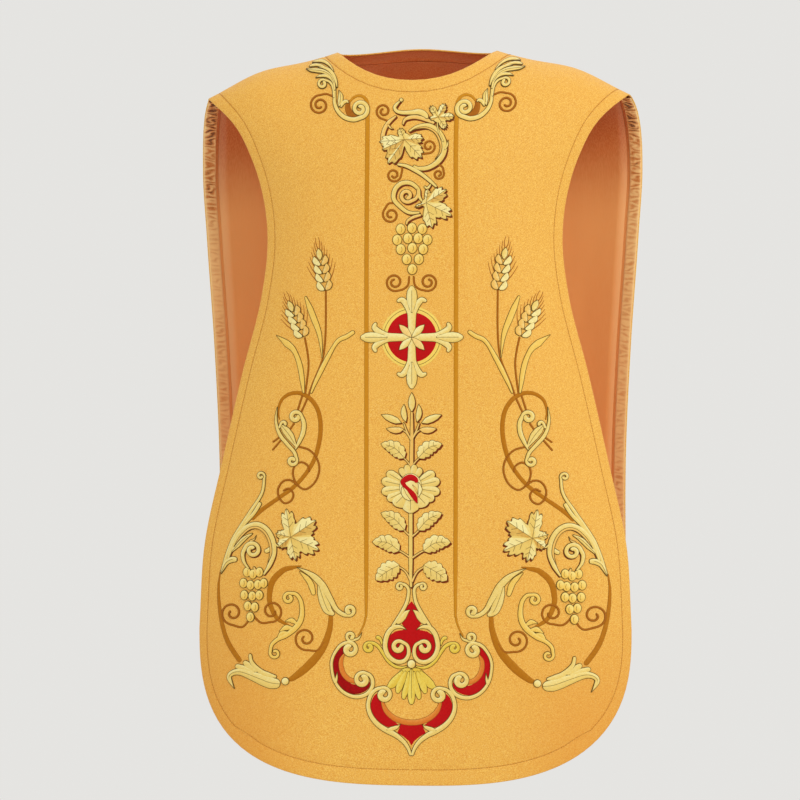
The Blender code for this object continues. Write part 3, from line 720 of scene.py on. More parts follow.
def puckered_edge(name, hand):
    """The back's turned-in side edge, ruched by its stitching: uneven gathers that lean to and fro,
    deep near the shoulder and calm further down."""
    offsets = np.array(PUCKER_LINES)
    base = WALL + 2 * SEAM_GAP
    edge = BACK.side_line()
    count = int(BACK.length(edge) / PUCKER_STEP)
    line = BACK.even(edge, count)
    rng = np.random.default_rng(PUCKER_SEEDS[hand])
    along = np.arange(count)[:, None] * PUCKER_STEP
    share = ((offsets - offsets[0]) / (offsets[-1] - offsets[0]))[None, :]
    deep = 0.30 + 0.70 * np.clip(1.25 - along / RUCHED, 0, 1) ** 0.7
    wobble = 0.0
    for pitch in PUCKER_WAVES:
        turn = rng.uniform(0, 2 * math.pi)
        tilt = rng.uniform(-0.9, 0.9)
        amount = rng.uniform(0.55, 0.95)
        wobble = wobble + amount * np.sin(2 * math.pi * (along / pitch + tilt * share) + turn)
    knots = np.arange(0, along[-1, 0] + PUCKER_KNOT, PUCKER_KNOT)
    lean = np.interp(along[:, 0], knots, rng.uniform(-3.4, 3.4, len(knots)))[:, None]
    strength = np.interp(along[:, 0], knots, rng.uniform(0.55, 1.0, len(knots)))[:, None] * deep
    phase = 2 * math.pi * along / PUCKER_PITCH + lean * share + wobble * (0.7 + 1.1 * deep)
    ridge = (0.5 + 0.5 * np.sin(phase)) ** 1.2
    cross = (0.5 + 0.5 * np.sin(0.55 * phase - 3 * lean * share + 2 * wobble)) ** 2
    swell = np.sin(math.pi * np.clip(share, 0, 1)) ** 0.5
    height = 0.0008 + swell * (0.0003 + strength * (0.0017 * ridge + 0.0011 * cross))
    height[:, [0, -1]] = 0.0
    places = np.stack([BACK.inset(line, offset) for offset in offsets], axis=1)
    grid = BACK.point(places[..., 0], places[..., 1], -(base + height))[2:-2] * (hand, 1, 1)
    # Painted shade: tone is lowest deep in the valleys between the gathers and highest on their ridges.
    gap = swell * strength * (1 - ridge) ** 1.3
    tone = np.clip(0.98 - 1.25 * gap - 0.4 * swell * strength * (1 - cross), 0, 1)[2:-2]
    height_count, width = grid.shape[:2]
    faces = []
    for row in range(height_count - 1):
        for column in range(width - 1):
            a = row * width + column
            face = (a, a + 1, a + width + 1, a + width)
            faces.append(face if hand > 0 else face[::-1])
    return mesh_piece(name, grid.reshape(-1, 3), faces, [FINISHES["puckers"]],
                      attributes={"tone": tone.ravel()})


def make_cloth():
    gold, rust = FINISHES["gold_cloth"], FINISHES["rust_satin"]
    front = cloth("front_cloth", FRONT, [gold, rust], WALL)
    settle(front, "gold_cloth", "front_panel")
    back = cloth("back_cloth", BACK, [gold, rust], WALL)
    settle(back, "gold_cloth", "back_panel")
    lining = cloth("back_satin_lining", BACK, [rust], LINING_WALL, out=-(WALL + SEAM_GAP), lined=True,
                   loose=0.0008)
    settle(lining, "rust_satin", "back_lining")
    edges = [puckered_edge("back_puckers_right", 1), puckered_edge("back_puckers_left", -1)]
    settle(edges[0], "gold_turned_edge", "back_edge_right")
    settle(edges[1], "gold_turned_edge", "back_edge_left")
    for name, panel in (("front_top_stitching", FRONT), ("back_top_stitching", BACK)):
        stitches = top_stitching(name, panel)
        settle(stitches, "gold_cloth")


def make_stage():
    """A pale floor under the garment, soft lights and the camera of the photograph."""
    bpy.ops.mesh.primitive_circle_add(vertices=96, radius=FLOOR_RADIUS, fill_type="NGON",
                                      location=(0, 0, FLOOR_Z))
    floor = bpy.context.object
    floor.name = "floor"
    paint = Paint("pale_floor", roughness=0.9)
    floor.data.materials.append(paint.finish(srgb(232, 230, 226)))

    world = bpy.context.scene.world or bpy.data.worlds.new("studio")
    bpy.context.scene.world = world
    world.use_nodes = True
    background = world.node_tree.nodes["Background"]
    background.inputs["Color"].default_value = srgb(240, 239, 236)
    background.inputs["Strength"].default_value = 0.90
    bpy.context.scene.view_settings.view_transform = "Standard"

    for name, place, size, power, tint in (
        ("key", (2.4, -2.8, 1.4), 1.8, 48.0, (1.0, 0.98, 0.94)),
        ("fill", (-2.4, -2.6, 0.3), 2.4, 4.0, (1.0, 0.98, 0.96)),
        ("top", (0.3, 1.2, 2.2), 2.0, 10.0, (1.0, 1.0, 1.0)),
    ):
        light = bpy.data.lights.new(name, "AREA")
        light.size = size
        light.energy = power
        light.color = tint
        holder = bpy.data.objects.new(name, light)
        bpy.context.scene.collection.objects.link(holder)
        holder.location = place
        way = Vector(LIGHT_AIM) - Vector(place)
        holder.rotation_euler = way.to_track_quat("-Z", "Y").to_euler()

    camera = bpy.data.cameras.new("camera")
    camera.sensor_fit = "HORIZONTAL"
    camera.angle = 2 * math.atan(VIEW_HALF_WIDTH / VIEW_DISTANCE)
    holder = bpy.data.objects.new("camera", camera)
    bpy.context.scene.collection.objects.link(holder)
    aim = Vector((-MIDDLE_OFFSET * math.cos(VIEW_AZIMUTH), VIEW_PLANE_Y, VIEW_HEIGHT))
    back_off = Vector((math.sin(VIEW_AZIMUTH), -math.cos(VIEW_AZIMUTH), 0.0)) * VIEW_DISTANCE
    holder.location = aim + back_off
    holder.rotation_euler = (-back_off).to_track_quat("-Z", "Y").to_euler()
    bpy.context.scene.camera = holder


# Embroidery


def smooth_line(places, step=0.7):
    """A smooth line through places, in steps of about that length."""
    p = np.array(places, float)
    if len(p) == 2:
        count = max(int(np.linalg.norm(p[1] - p[0]) / step), 2)
        return p[0] + (p[1] - p[0]) * np.linspace(0, 1, count + 1)[:, None]
    p = np.concatenate([[2 * p[0] - p[1]], p, [2 * p[-1] - p[-2]]])
    line = []
    for a, b, c, d in zip(p[:-3], p[1:-2], p[2:-1], p[3:]):
        t = np.arange(0, 1, step / max(np.linalg.norm(c - b), step))[:, None]
        second = 2 * a - 5 * b + 4 * c - d
        third = 3 * b - a - 3 * c + d
        line.append(0.5 * (2 * b + (c - a) * t + second * t**2 + third * t**3))
    return np.concatenate([*line, [p[-2]]])


def reach_of(line):
    """How far along a line each of its places is."""
    return np.concatenate([[0], np.cumsum(np.linalg.norm(np.diff(line, axis=0), axis=1))])


def wound(line, radius, turns, side, close):
    """The line wound on into a spiral at its end, to its left for side 1 and its right for -1.
    close is the share of the radius that is left at the spiral's middle."""
    heading = math.atan2(*(line[-1] - line[-2])[::-1])
    angles = np.linspace(0, turns * 2 * math.pi, max(int(turns * 2 * math.pi * radius / 0.8), 12))
    steps = radius * (1 - (1 - close) * angles / angles[-1]) * (angles[1] - angles[0])
    way = np.stack([np.cos(heading + side * angles), np.sin(heading + side * angles)], axis=1)
    return np.concatenate([line, line[-1] + np.cumsum(way * steps[:, None], axis=0)])


def polar(centre, radius, angle):
    return (centre[0] + radius * math.cos(angle), centre[1] + radius * math.sin(angle))


class Embroidery:
    """Laid thread as raised patches, in millimetres across and up the front as seen from ahead.
    On the sides, across grows outward. light is the way to the side that is worked lighter."""

    def __init__(self, light):
        self.light = np.array(light) / math.hypot(*light)
        self.points, self.faces, self.slots, self.finishes = [], [], [], []
        self.marks = {"rim": [], "core": [], "tone": []}
        self.maps = []
        self.count = 0

    def add(self, places, heights, faces, finish, rim, core, tone, stitch, cast=0.0):
        """Takes a patch in. With cast, a dark copy shows that far below its unlit side."""
        if cast:
            moved = places - self.light * cast
            dark = np.where(heights > 0, 0.15, heights)
            self.add(moved, dark, faces, "red_brown", rim + 0.002, core * 0 + 0.02, tone * 0 + 0.5, stitch)
        if finish not in self.finishes:
            self.finishes.append(finish)
        self.points.append(np.column_stack([places, heights]))
        self.faces += [tuple(v + self.count for v in face) for face in faces]
        self.slots += [self.finishes.index(finish)] * len(faces)
        for label, values in (("rim", rim), ("core", core), ("tone", tone)):
            self.marks[label].append(values)
        self.maps.append(stitch)
        self.count += len(places)

    def band(self, *places, half=2.5, finish="cream", curl=None, first=None, level=0.0, crown=0.7, cast=0.0,
             vein=False, tone=0.62, contrast=0.3, step=1.5, scallops=0, depth=0.16):
        """A raised band along a smooth line, as wide as half says along it."""
        line = smooth_line(places)
        plain = reach_of(line)[-1]
        if curl:
            line = wound(line, *curl)
        tail = reach_of(line)[-1] - plain
        if first:
            line = wound(line[::-1], *first)[::-1]
        along = reach_of(line)
        length = along[-1]
        head = length - tail - plain
        near = np.array([0, 0.3, 0.9, 1.8])
        at = np.concatenate([near, np.arange(3.0, max(length - 3.0, 3.0), step), (length - near)[::-1]])
        at = np.unique(np.clip(at, 0, length).round(3))
        line = np.stack([np.interp(at, along, line[:, k]) for k in range(2)], axis=1)
        half = np.atleast_1d(half).astype(float)
        width = np.interp(at / length, np.linspace(0, 1, max(len(half), 2)),
                          np.resize(half, max(len(half), 2)))
        if scallops:
            width *= 1 - depth * (1 - np.abs(np.sin(math.pi * scallops * at / length)) ** 0.6)
        for from_end, end in ((at, width[0]), (length - at, width[-1])):
            share = np.clip(from_end / max(end, 0.05), 0, 1)
            width = width * np.maximum(np.sqrt(1 - (1 - share) ** 2), 0.04)
        way = np.gradient(line, axis=0)
        way /= np.linalg.norm(way, axis=1, keepdims=True) + 1e-9
        left = np.stack([-way[:, 1], way[:, 0]], axis=1)
        profile = NARROW_PROFILE if half.max() < NARROW_HALF else WIDE_PROFILE
        shares, lifts = np.array([p[0] for p in profile]), np.array([p[1] for p in profile])
        count, rows = len(shares), len(at)
        spread = width[:, None] * shares
        spots = line[:, None] + left[:, None] * spread[..., None]
        heights = level + crown * lifts * np.minimum(width / 1.2, 1)[:, None]
        for share in ((at - length + tail) / (tail + 0.01), (head - at) / (head + 0.01)):
            heights += CURL_RISE * np.clip(share, 0, 1)[:, None]
        heights[:, [0, -1]] = EDGE_SINK
        heights[[0, -1]] = EDGE_SINK
        facing = (left @ self.light)[:, None] * shares
        shade = tone + contrast * facing
        rim = np.minimum(width[:, None] * (1 - np.abs(shares)), np.minimum(at, length - at)[:, None])
        core = np.abs(spread) if vein else np.full((rows, count), NO_VEIN)
        core = core + np.clip(at / length - 0.8, 0, 1)[:, None] * 12
        stitch = np.stack([np.broadcast_to(at[:, None], spread.shape) + 0.35 * spread, spread], axis=2)
        faces = []
        for row in range(rows - 1):
            for column in range(count - 1):
                a = row * count + column
                faces.append((a, a + count, a + count + 1, a + 1))
        flat = (rows * count,)
        self.add(spots.reshape(-1, 2), heights.reshape(flat), faces, finish, rim.reshape(flat) * MM,
                 core.reshape(flat) * MM, shade.reshape(flat), stitch.reshape(-1, 2) * MM, cast)
        return line

    def blob(self, centre, outline, finish="cream", level=0.0, crown=0.7, cast=0.0, tone=0.62, contrast=0.3,
             veins=()):
        """A raised patch round a centre that sees all of its outline, with veins at some angles."""
        outline, centre = np.array(outline, float), np.array(centre, float)
        turned = np.roll(outline, -1, axis=0)
        if (outline[:, 0] * turned[:, 1] - outline[:, 1] * turned[:, 0]).sum() < 0:
            outline = outline[::-1]
        count = len(outline)
        inner = [centre + share * (outline - centre) for share, _ in PATCH_RINGS]
        lifted = [np.full(count, level + crown * lift) for _, lift in PATCH_RINGS]
        spots = np.concatenate([centre + (outline - centre), *inner, [centre]])
        heights = np.concatenate([np.full(count, EDGE_SINK), *lifted, [level + crown]])
        onward = np.roll(outline, -1, axis=0) - outline
        fine = np.concatenate([outline + onward * share for share in (0, 0.34, 0.67)])
        rim = np.min(np.linalg.norm(spots[:, None] - fine[None], axis=2), axis=1)
        rim[:count] = 0.0
        arm = spots - centre
        reach = np.linalg.norm(arm, axis=1)
        angle = np.arctan2(arm[:, 1], arm[:, 0])
        core = np.full(len(spots), NO_VEIN)
        shade = tone + contrast * (arm @ self.light) / (reach.max() + 1e-6)
        for vein in veins:
            off = (angle - vein + math.pi) % (2 * math.pi) - math.pi
            aside = reach * np.abs(np.sin(off))
            core = np.where(np.abs(off) < 0.6, np.minimum(core, aside), core)
            lean = np.sign(off) * np.dot(self.light, (-math.sin(vein), math.cos(vein)))
            beside = tone + contrast * lean + 0.2 * (reach / reach.max() - 0.5)
            shade = np.where(np.abs(off) < 0.45, beside, shade)
        core[-1] = 0.0 if len(veins) else NO_VEIN
        faces = []
        for ring in range(len(PATCH_RINGS)):
            for k in range(count):
                a, b = ring * count + k, ring * count + (k + 1) % count
                faces.append((a, b, b + count, a + count))
        last = len(PATCH_RINGS) * count
        faces += [(last + k, last + (k + 1) % count, last + count) for k in range(count)]
        self.add(spots, heights, faces, finish, rim * MM, core * MM, shade, spots * MM, cast)

    def oval(self, centre, across, up, count=18, **finish):
        angle = np.linspace(0, 2 * math.pi, count, endpoint=False)
        x, z = across * np.cos(angle), up * np.sin(angle)
        self.blob(centre, np.stack([centre[0] + x, centre[1] + z], axis=1), **finish)

    def vine_leaf(self, joint, lobes, level, cast, teeth=4.6, base=0.34):
        """A lobed, toothed leaf. lobes are (degrees, length, how wide) round the joint of its veins."""
        turns = np.radians([lobe[0] for lobe in lobes])
        even = np.linspace(-math.pi, math.pi, 121)[:-1]
        angle = np.unique(np.concatenate([even, (turns + math.pi) % (2 * math.pi) - math.pi]))
        reach = np.full(len(angle), base * max(lobe[1] for lobe in lobes))
        for turn, (_, length, wide) in zip(turns, lobes):
            off = np.abs((angle - turn + math.pi) % (2 * math.pi) - math.pi)
            petal = length * np.clip(1 - (off / wide) ** 1.9, 0, 1) ** 0.7
            reach = np.maximum(reach,
                               petal * (1 - 0.2 * (1 - np.abs(np.cos(math.pi * off * teeth)) ** 0.7)))
        outline = np.stack([joint[0] + reach * np.cos(angle), joint[1] + reach * np.sin(angle)], axis=1)
        self.blob(joint, outline, level=level, cast=cast, veins=turns, contrast=0.36)
        for turn, length in [(turn, lobe[1]) for turn, lobe in zip(turns, lobes) if lobe[1] > 15]:
            for share, reach in ((0.34, 0.24), (0.58, 0.2)):
                start = polar(joint, share * length, turn)
                for side in (-1, 1):
                    tip = polar(start, reach * length, turn + side * 0.8)
                    self.band(start, tip, half=(0.5, 0.35), level=level + 0.75, step=3.0, **OLIVE_MARK)

    def leaf(self, base, tip, half, bend):
        """A scalloped leaf with its vein and side veins."""
        base, tip = np.array(base, float), np.array(tip, float)
        way = tip - base
        square = np.array([-way[1], way[0]])
        middle = 0.5 * (base + tip) + bend * square
        t = np.linspace(0, 1, 9)
        widths = half * np.sin(math.pi * t**0.8) ** 0.7 + 0.3
        line = self.band(base, middle, tip, half=widths, level=LEAF_LEVEL, cast=2.8, vein=True,
                         scallops=5, depth=0.26, step=1.0)
        unit = way / np.linalg.norm(way)
        for share in (0.3, 0.5, 0.68):
            start = line[int(share * len(line))]
            for side in (-1, 1):
                out = np.array([-unit[1], unit[0]]) * side
                reach = half * 0.62 * math.sin(math.pi * share**0.8)
                self.band(start, start + unit * reach * 0.8 + out * reach, half=(0.5, 0.3),
                          level=LEAF_LEVEL + 0.72, step=3.0, **OLIVE_MARK)

    def bunch(self, rows, across, up, level=0.4):
        """Grapes as round raised grains, each over the one above it, from rows of their middles."""
        for k, centre in enumerate([centre for row in rows for centre in row]):
            self.oval(centre, across, up, level=level + 0.06 * k, crown=0.5, tone=0.68, contrast=0.4,
                      finish="gold")
            spot = (centre[0] + across * 0.18 * self.light[0], centre[1])
            ends = [(spot[0] - across * 0.35 * self.light[0], centre[1] + up * 0.5),
                    (spot[0] - across * 0.62 * self.light[0], centre[1] - up * 0.1),
                    (spot[0] - across * 0.25 * self.light[0], centre[1] - up * 0.6)]
            self.band(*ends, half=0.4, level=level + 0.55 + 0.06 * k, step=2.0, **OLIVE_MARK)

    def ear(self, base, tip):
        """An ear of wheat: paired grains, the top one, and their awns."""
        base, tip = np.array(base, float), np.array(tip, float)
        length = np.linalg.norm(tip - base)
        up = (tip - base) / length
        out = np.array([up[1], -up[0]])
        for side in (-1, 1):
            for k in range(GRAIN_PAIRS + 3):
                root = base + up * length * (0.16 + 0.13 * k) + out * side * (6.2 - 0.95 * k)
                far = root + up * (27 - 1.6 * k) + out * side * (13.5 - 2.0 * k)
                self.band(root, 0.5 * (root + far) + out * side * 1.4, far, half=(0.8, 0.7, 0.4),
                          finish="awn", level=0.1, crown=0.35, step=2.5)
        for k in range(GRAIN_PAIRS):
            for side in (-1, 1):
                root = base + up * length * (0.015 + 0.19 * k) + out * side * 0.6
                end = root + up * 13.8 + out * side * 7.2
                mid = 0.5 * (root + end) + out * side * 2.2 - up * 1.5
                below = out * side * 0.88 - up * 0.46
                tone, finish = (0.8, "cream") if side > 0 else (0.6, "peach")
                self.band(root, mid, end, half=(1.5, 4.6, 4.4, 0.7), level=0.3 + 0.05 * (GRAIN_PAIRS - k),
                          crown=0.9, tone=tone, finish=finish)
                self.band(root - out * side * 0.6, 0.5 * (root + mid) + below * 3.2, mid + below * 4.2,
                          half=(0.8, 0.8, 0.5), level=1.0, step=2.0, **OLIVE_MARK)
        root = base + up * length * 0.7
        self.band(root, root + up * 17, half=(1.2, 4.4, 4.3, 0.5), level=0.8, crown=0.9)

    def spiral(self, *places, radius, turns, side, close):
        """A line of brown thread that ends in a spiral."""
        self.band(*places, half=1.5, finish="brown", curl=(radius, turns, side, close), level=0.05,
                  crown=0.45, step=1.6)


def lay(name, art, slot, nodes, hand=0):
    """Lays embroidery on the front: hand -1 or 1 for the side where across grows outward, 0 for
    the middle. Its places are as the camera sees them, so each is followed back to the cloth."""
    places = np.concatenate(art.points) * MM
    seen_x, seen_z = places[:, 0], places[:, 1]
    x, z = seen_x.copy(), seen_z.copy()
    lean = math.tan(VIEW_AZIMUTH) if hand else -math.tan(VIEW_AZIMUTH)
    for _ in range(5):
        away = FRONT.seen(x, z)[:, 1] - VIEW_PLANE_Y
        x = seen_x * (1 + away / VIEW_DISTANCE) + away * lean
        z = VIEW_HEIGHT + (seen_z - VIEW_HEIGHT) * (1 + away / VIEW_DISTANCE)
        z = np.minimum(z, ridge_height(x) - BELOW_RIDGE)
    points = FRONT.seen(x, z, places[:, 2])
    faces = art.faces
    if hand < 0:
        points = points * (-1, 1, 1)
        faces = [face[::-1] for face in faces]
    marks = {label: np.concatenate(values) for label, values in art.marks.items()}
    piece = mesh_piece(name, points, faces, [FINISHES[finish] for finish in art.finishes], art.slots, marks,
                       np.concatenate(art.maps))
    settle(piece, slot, *nodes)


# Motifs. Their lines run through places read off the photograph, in millimetres across and up
# as its camera sees them. Those of the sides are worked once, and laid on both sides.

CENTRE_LIGHT = (-0.6, 0.8)
SIDE_LIGHT = (0.6, 0.8)


def neck_scroll():
    art = Embroidery(SIDE_LIGHT)
    art.spiral((107, -83), (116, -79.5), (126, -81), radius=13.5, turns=1.7, side=-1, close=0.2)
    art.band((84, -88), (87, -97), (84, -106), (76, -110.5), (68, -107), half=(1.5, 4.0, 5.0, 4.2, 1),
             finish="brown", crown=0.4)
    # The stem and the big curl at its foot
    art.band((104.4, -70), (104.8, -85), (104.2, -94), (99.5, -104), (90.5, -112), (78.5, -115),
             (68, -112), half=(2.2, 2.6, 3.2, 3.6, 3.8, 3.8, 3.6, 3.4, 3.4, 3.4, 3.4),
             curl=(11.5, 1.7, -1, 0.14), level=0.5)
    art.band((105.5, -86), (106.5, -72), (111, -64), (118, -61), half=(2, 2.4, 2.2, 2.6, 3.0),
             curl=(6.0, 1.1, -1, 0.4), level=0.6)
    # Its crown of leaves, from the lowest to the one that reaches over the seam
    art.band((131, -57.6), (125, -55.6), (117.5, -55.2), (111.4, -57.6), (107.2, -62.6), (105, -70),
             half=(0.6, 2.4, 2.8, 2.6, 2.2, 1.4), level=0.65)
    art.band((143.6, -44.8), (138.3, -47), (130.5, -47.8), (121.8, -49), (114, -52.4), (108.8, -57.8),
             (105.4, -66), (104.2, -76), half=(0.8, 3.0, 3.6, 3.4, 3.0, 2.6, 2.2, 1.8), level=0.8,
             vein=True)
    art.band((127.5, -43.4), (118.4, -44.6), (111, -48.4), (105.8, -55), (102.6, -63), (101, -72),
             half=(0.8, 2.4, 3.0, 3.0, 2.4, 1.2), level=0.9)
    art.band((139.5, -42.6), (134.5, -41), (129, -40.4), (122, -41.8), (115, -45),
             half=(1.4, 2.6, 2.6, 2.2, 1.0), level=0.85)
    art.band((135.5, -37.2), (130, -35.4), (123, -34.8), (117, -36.6), (110.5, -42), (105.5, -50),
             half=(0.6, 2.4, 2.9, 2.6, 1.9, 1.0), level=0.75)
    # Two small leaves beside the stem
    art.band((99, -74), (96.6, -82), (97, -90), (99, -98), half=(0.5, 3.8, 4.2, 1.0), level=0.4, vein=True)
    art.band((96.5, -99), (93, -92), (88, -90), (85.5, -93), half=(1.2, 3.0, 3.2, 1.2), level=0.3)
    return art


def orphrey_line():
    art = Embroidery(SIDE_LIGHT)
    art.band((84.5, -91), (79, -84.8), (71.8, -82.2), (65, -84.2), (60.8, -90), (59.6, -99), (59.9, -115),
             (61.3, -300), (61.5, -560), (61.7, -769), (62.6, -792), (64.8, -802), (68.4, -810),
             (73, -818), half=(1.5,) + (3.1,) * 14 + (2.2, 1.0), finish="tan", **PLAIN_LINE)
    art.band((67.5, -813), (72, -821), (80, -824), half=(0.5, 2.2, 2.6, 2.9, 3.2, 3.8),
             curl=(6.2, 1.2, 1, 0.3), level=0.3)
    return art


def chest_vine():
    art = Embroidery(CENTRE_LIGHT)
    art.spiral((-21, -110), (-30, -117), (-40, -114), radius=10.5, turns=1.5, side=-1, close=0.22)
    art.spiral((8, -158), (14, -162), (23, -161.5), radius=9.5, turns=1.35, side=1, close=0.22)
    art.spiral((-16, -174), (-12.5, -182), (-14, -191), radius=10, turns=1.5, side=-1, close=0.22)
    art.spiral((34, -176), (42, -180), (44, -187), radius=7.5, turns=1.4, side=-1, close=0.25)
    art.spiral((-22, -229), (-31, -229.5), (-36.5, -237), radius=11.5, turns=1.5, side=1, close=0.22)
    art.band((-20, -110), (-30, -118), (-36, -127), (-39, -138), (-39, -152),
             half=(1.6, 3.2, 3.4, 3.4, 2.2), finish="peach", cast=2.0)
    art.band((-33, -121), (-28, -127), (-24, -128), half=(1.6, 2.0, 0.8), finish="peach", level=0.1,
             cast=1.5)
    art.band((-12, -123), (-8, -115), (4, -112), (18, -115), (32, -121), half=(1.6, 3.2, 3.4, 3.4, 2.4),
             finish="peach", cast=2.0)
    art.band((-4, -132), (8, -126), (24, -124.5), (37, -133), (44, -148), (43.5, -161), (36, -173),
             (23, -181), (10, -182), (2, -178), half=(1.6, 3.6, 4.2, 4.4, 4.8, 4.8, 4.4, 3.8, 3.6, 2.2),
             cast=2.3, level=0.3, tone=0.55)
    art.band((0, -131), (10, -127.5), (22, -127.5), (33.5, -134.5), (40, -149), (39, -161), (32, -170),
             half=(0.6, 1.6, 1.9, 2.0, 2.0, 1.8, 0.6), finish="peach", level=0.75, tone=0.45)
    art.band((50, -143), (49, -150), (45, -158), half=(0.4, 2.2, 1.5), level=0.4)
    art.band((44, -147), (38, -135), (35.5, -124), (36, -116), half=(1.8, 1.8, 1.6, 1.4), level=0.5,
             cast=1.5)
    art.band((-14.2, -89.7), (-18.5, -93.3), (-22.5, -98.4), (-20.6, -103.6), (-13, -106.1), (-1, -106.1),
             (11.3, -105.5), (19.8, -110.3), (21.6, -115.2),
             half=(1.4, 2.8, 3.0, 3.2, 3.4, 3.8, 4.6, 4.6, 2.4), level=0.5, cast=2.1)
    art.oval((-13.6, -89.2), 3.1, 3.1, level=0.8)
    art.band((-20, -176), (-6, -179), (11, -188), (24, -198), (35, -208),
             half=(2.2, 3.0, 3.4, 3.2, 3.0, 2), level=0.5, cast=2.1)
    art.band((27, -203), (22, -209), (17, -206), half=(1.8, 2.4, 1.8), level=0.5, cast=1.6)
    art.band((18, -231), (11, -221), (9, -210), (-1, -202), (-13, -202), (-22, -210), (-24, -223),
             (-15, -234), (-3, -242), (12, -242), half=(1.8, 2.8, 3.2, 3.6, 3.8, 3.8, 3.6, 3.4, 3, 2),
             level=0.3, cast=2.1, tone=0.55)
    art.band((7.5, -209), (9, -216), (6, -223), (-1, -226.5), half=(1.5, 2.8, 3.2, 3.2, 3.2, 3.2, 3.4),
             curl=(9.0, 1.2, -1, 0.3), level=0.4, cast=2.1, finish="peach")
    art.band((14, -245), (3, -248), (-5, -253), (-7, -259), half=(2.2, 2.8, 2.6, 1.8), finish="peach",
             cast=2.0)
    art.vine_leaf((36.5, -113), ((3, 23, 0.62), (62, 22, 0.62), (124, 20, 0.62), (-56, 20, 0.7),
                                 (190, 13, 0.7)), cast=2.0, level=0.7, teeth=6)
    art.vine_leaf((-9.5, -143), ((-125, 40, 0.62), (-46, 35, 0.78), (4, 27, 0.72), (112, 18, 0.8),
                                 (184, 35, 0.6), (-156, 34, 0.5)), cast=2.4, level=0.9, base=0.24)
    art.vine_leaf((20, -229), ((33, 34, 0.72), (-27, 40, 0.66), (-76, 36, 0.66), (200, 17, 0.42),
                               (82, 21, 0.5)), cast=2.4, level=0.8, base=0.16)
    rows = (
        ((-14.7, -264.3), (0.8, -263), (14.9, -264.3)),
        ((-19.3, -279), (-4.8, -277), (9.2, -277), (21.9, -279)),
        ((-14.4, -291.8), (1.3, -290.2), (16.1, -291.8)),
        ((-6.2, -305.4), (10.3, -305.4)),
        ((1.3, -319),),
    )
    art.bunch(rows, 6.9, 7.8)
    for side in (-1, 1):
        art.spiral((side * 3, -328), (side * 4.5, -340), (side * 11, -346), (side * 18.5, -348),
                   radius=12.3, turns=1.6, side=side, close=0.25)
    return art


def cross():
    art = Embroidery(CENTRE_LIGHT)
    middle = (0.6, -411.5)
    art.oval(middle, 42.8, 42.8, count=72, finish="ring", crown=0.4, tone=0.8, contrast=0.05)
    turn = np.linspace(0, 2 * math.pi, 90)
    art.band(*[polar(middle, 38.6, angle) for angle in turn], half=0.5, level=0.35, **OLIVE_MARK)
    art.oval(middle, 34.8, 34.8, count=72, finish="red", level=0.4, crown=0.2, contrast=0.05)
    for quarter in range(4):
        angle = quarter * math.pi / 2
        c, s = math.cos(angle), math.sin(angle)

        def at(along, aside):
            return (middle[0] + c * along - s * aside, middle[1] + s * along + c * aside)

        for side in (-1, 1):
            art.band(at(28, side * 3), at(38, side * 5), at(46, side * 8.5), at(51, side * 14),
                     at(48.5, side * 20.5), half=(2.4, 3.8, 4.8, 4.6, 2.2), level=0.65, tone=0.7)
        art.band(at(2, 0), at(20, 0), at(40, 0), half=(5.4, 5.8, 6.4, 7.6), level=0.8, tone=0.7)
        art.band(at(33, 0), at(50, 0), at(70.5, 0), half=(2.4, 4.6, 7.2, 8.0, 6.8, 2.4), level=1.0,
                 vein=True, tone=0.7)
    for quarter in range(4):
        angle = math.pi / 4 + quarter * math.pi / 2
        tip = polar(middle, 25, angle)
        art.band(middle, polar(middle, 13, angle), tip, half=(1.2, 4.0, 5.6, 4.2, 0.4), level=1.3,
                 finish="peach" if quarter in (1, 3) else "cream", tone=0.75)
    return art


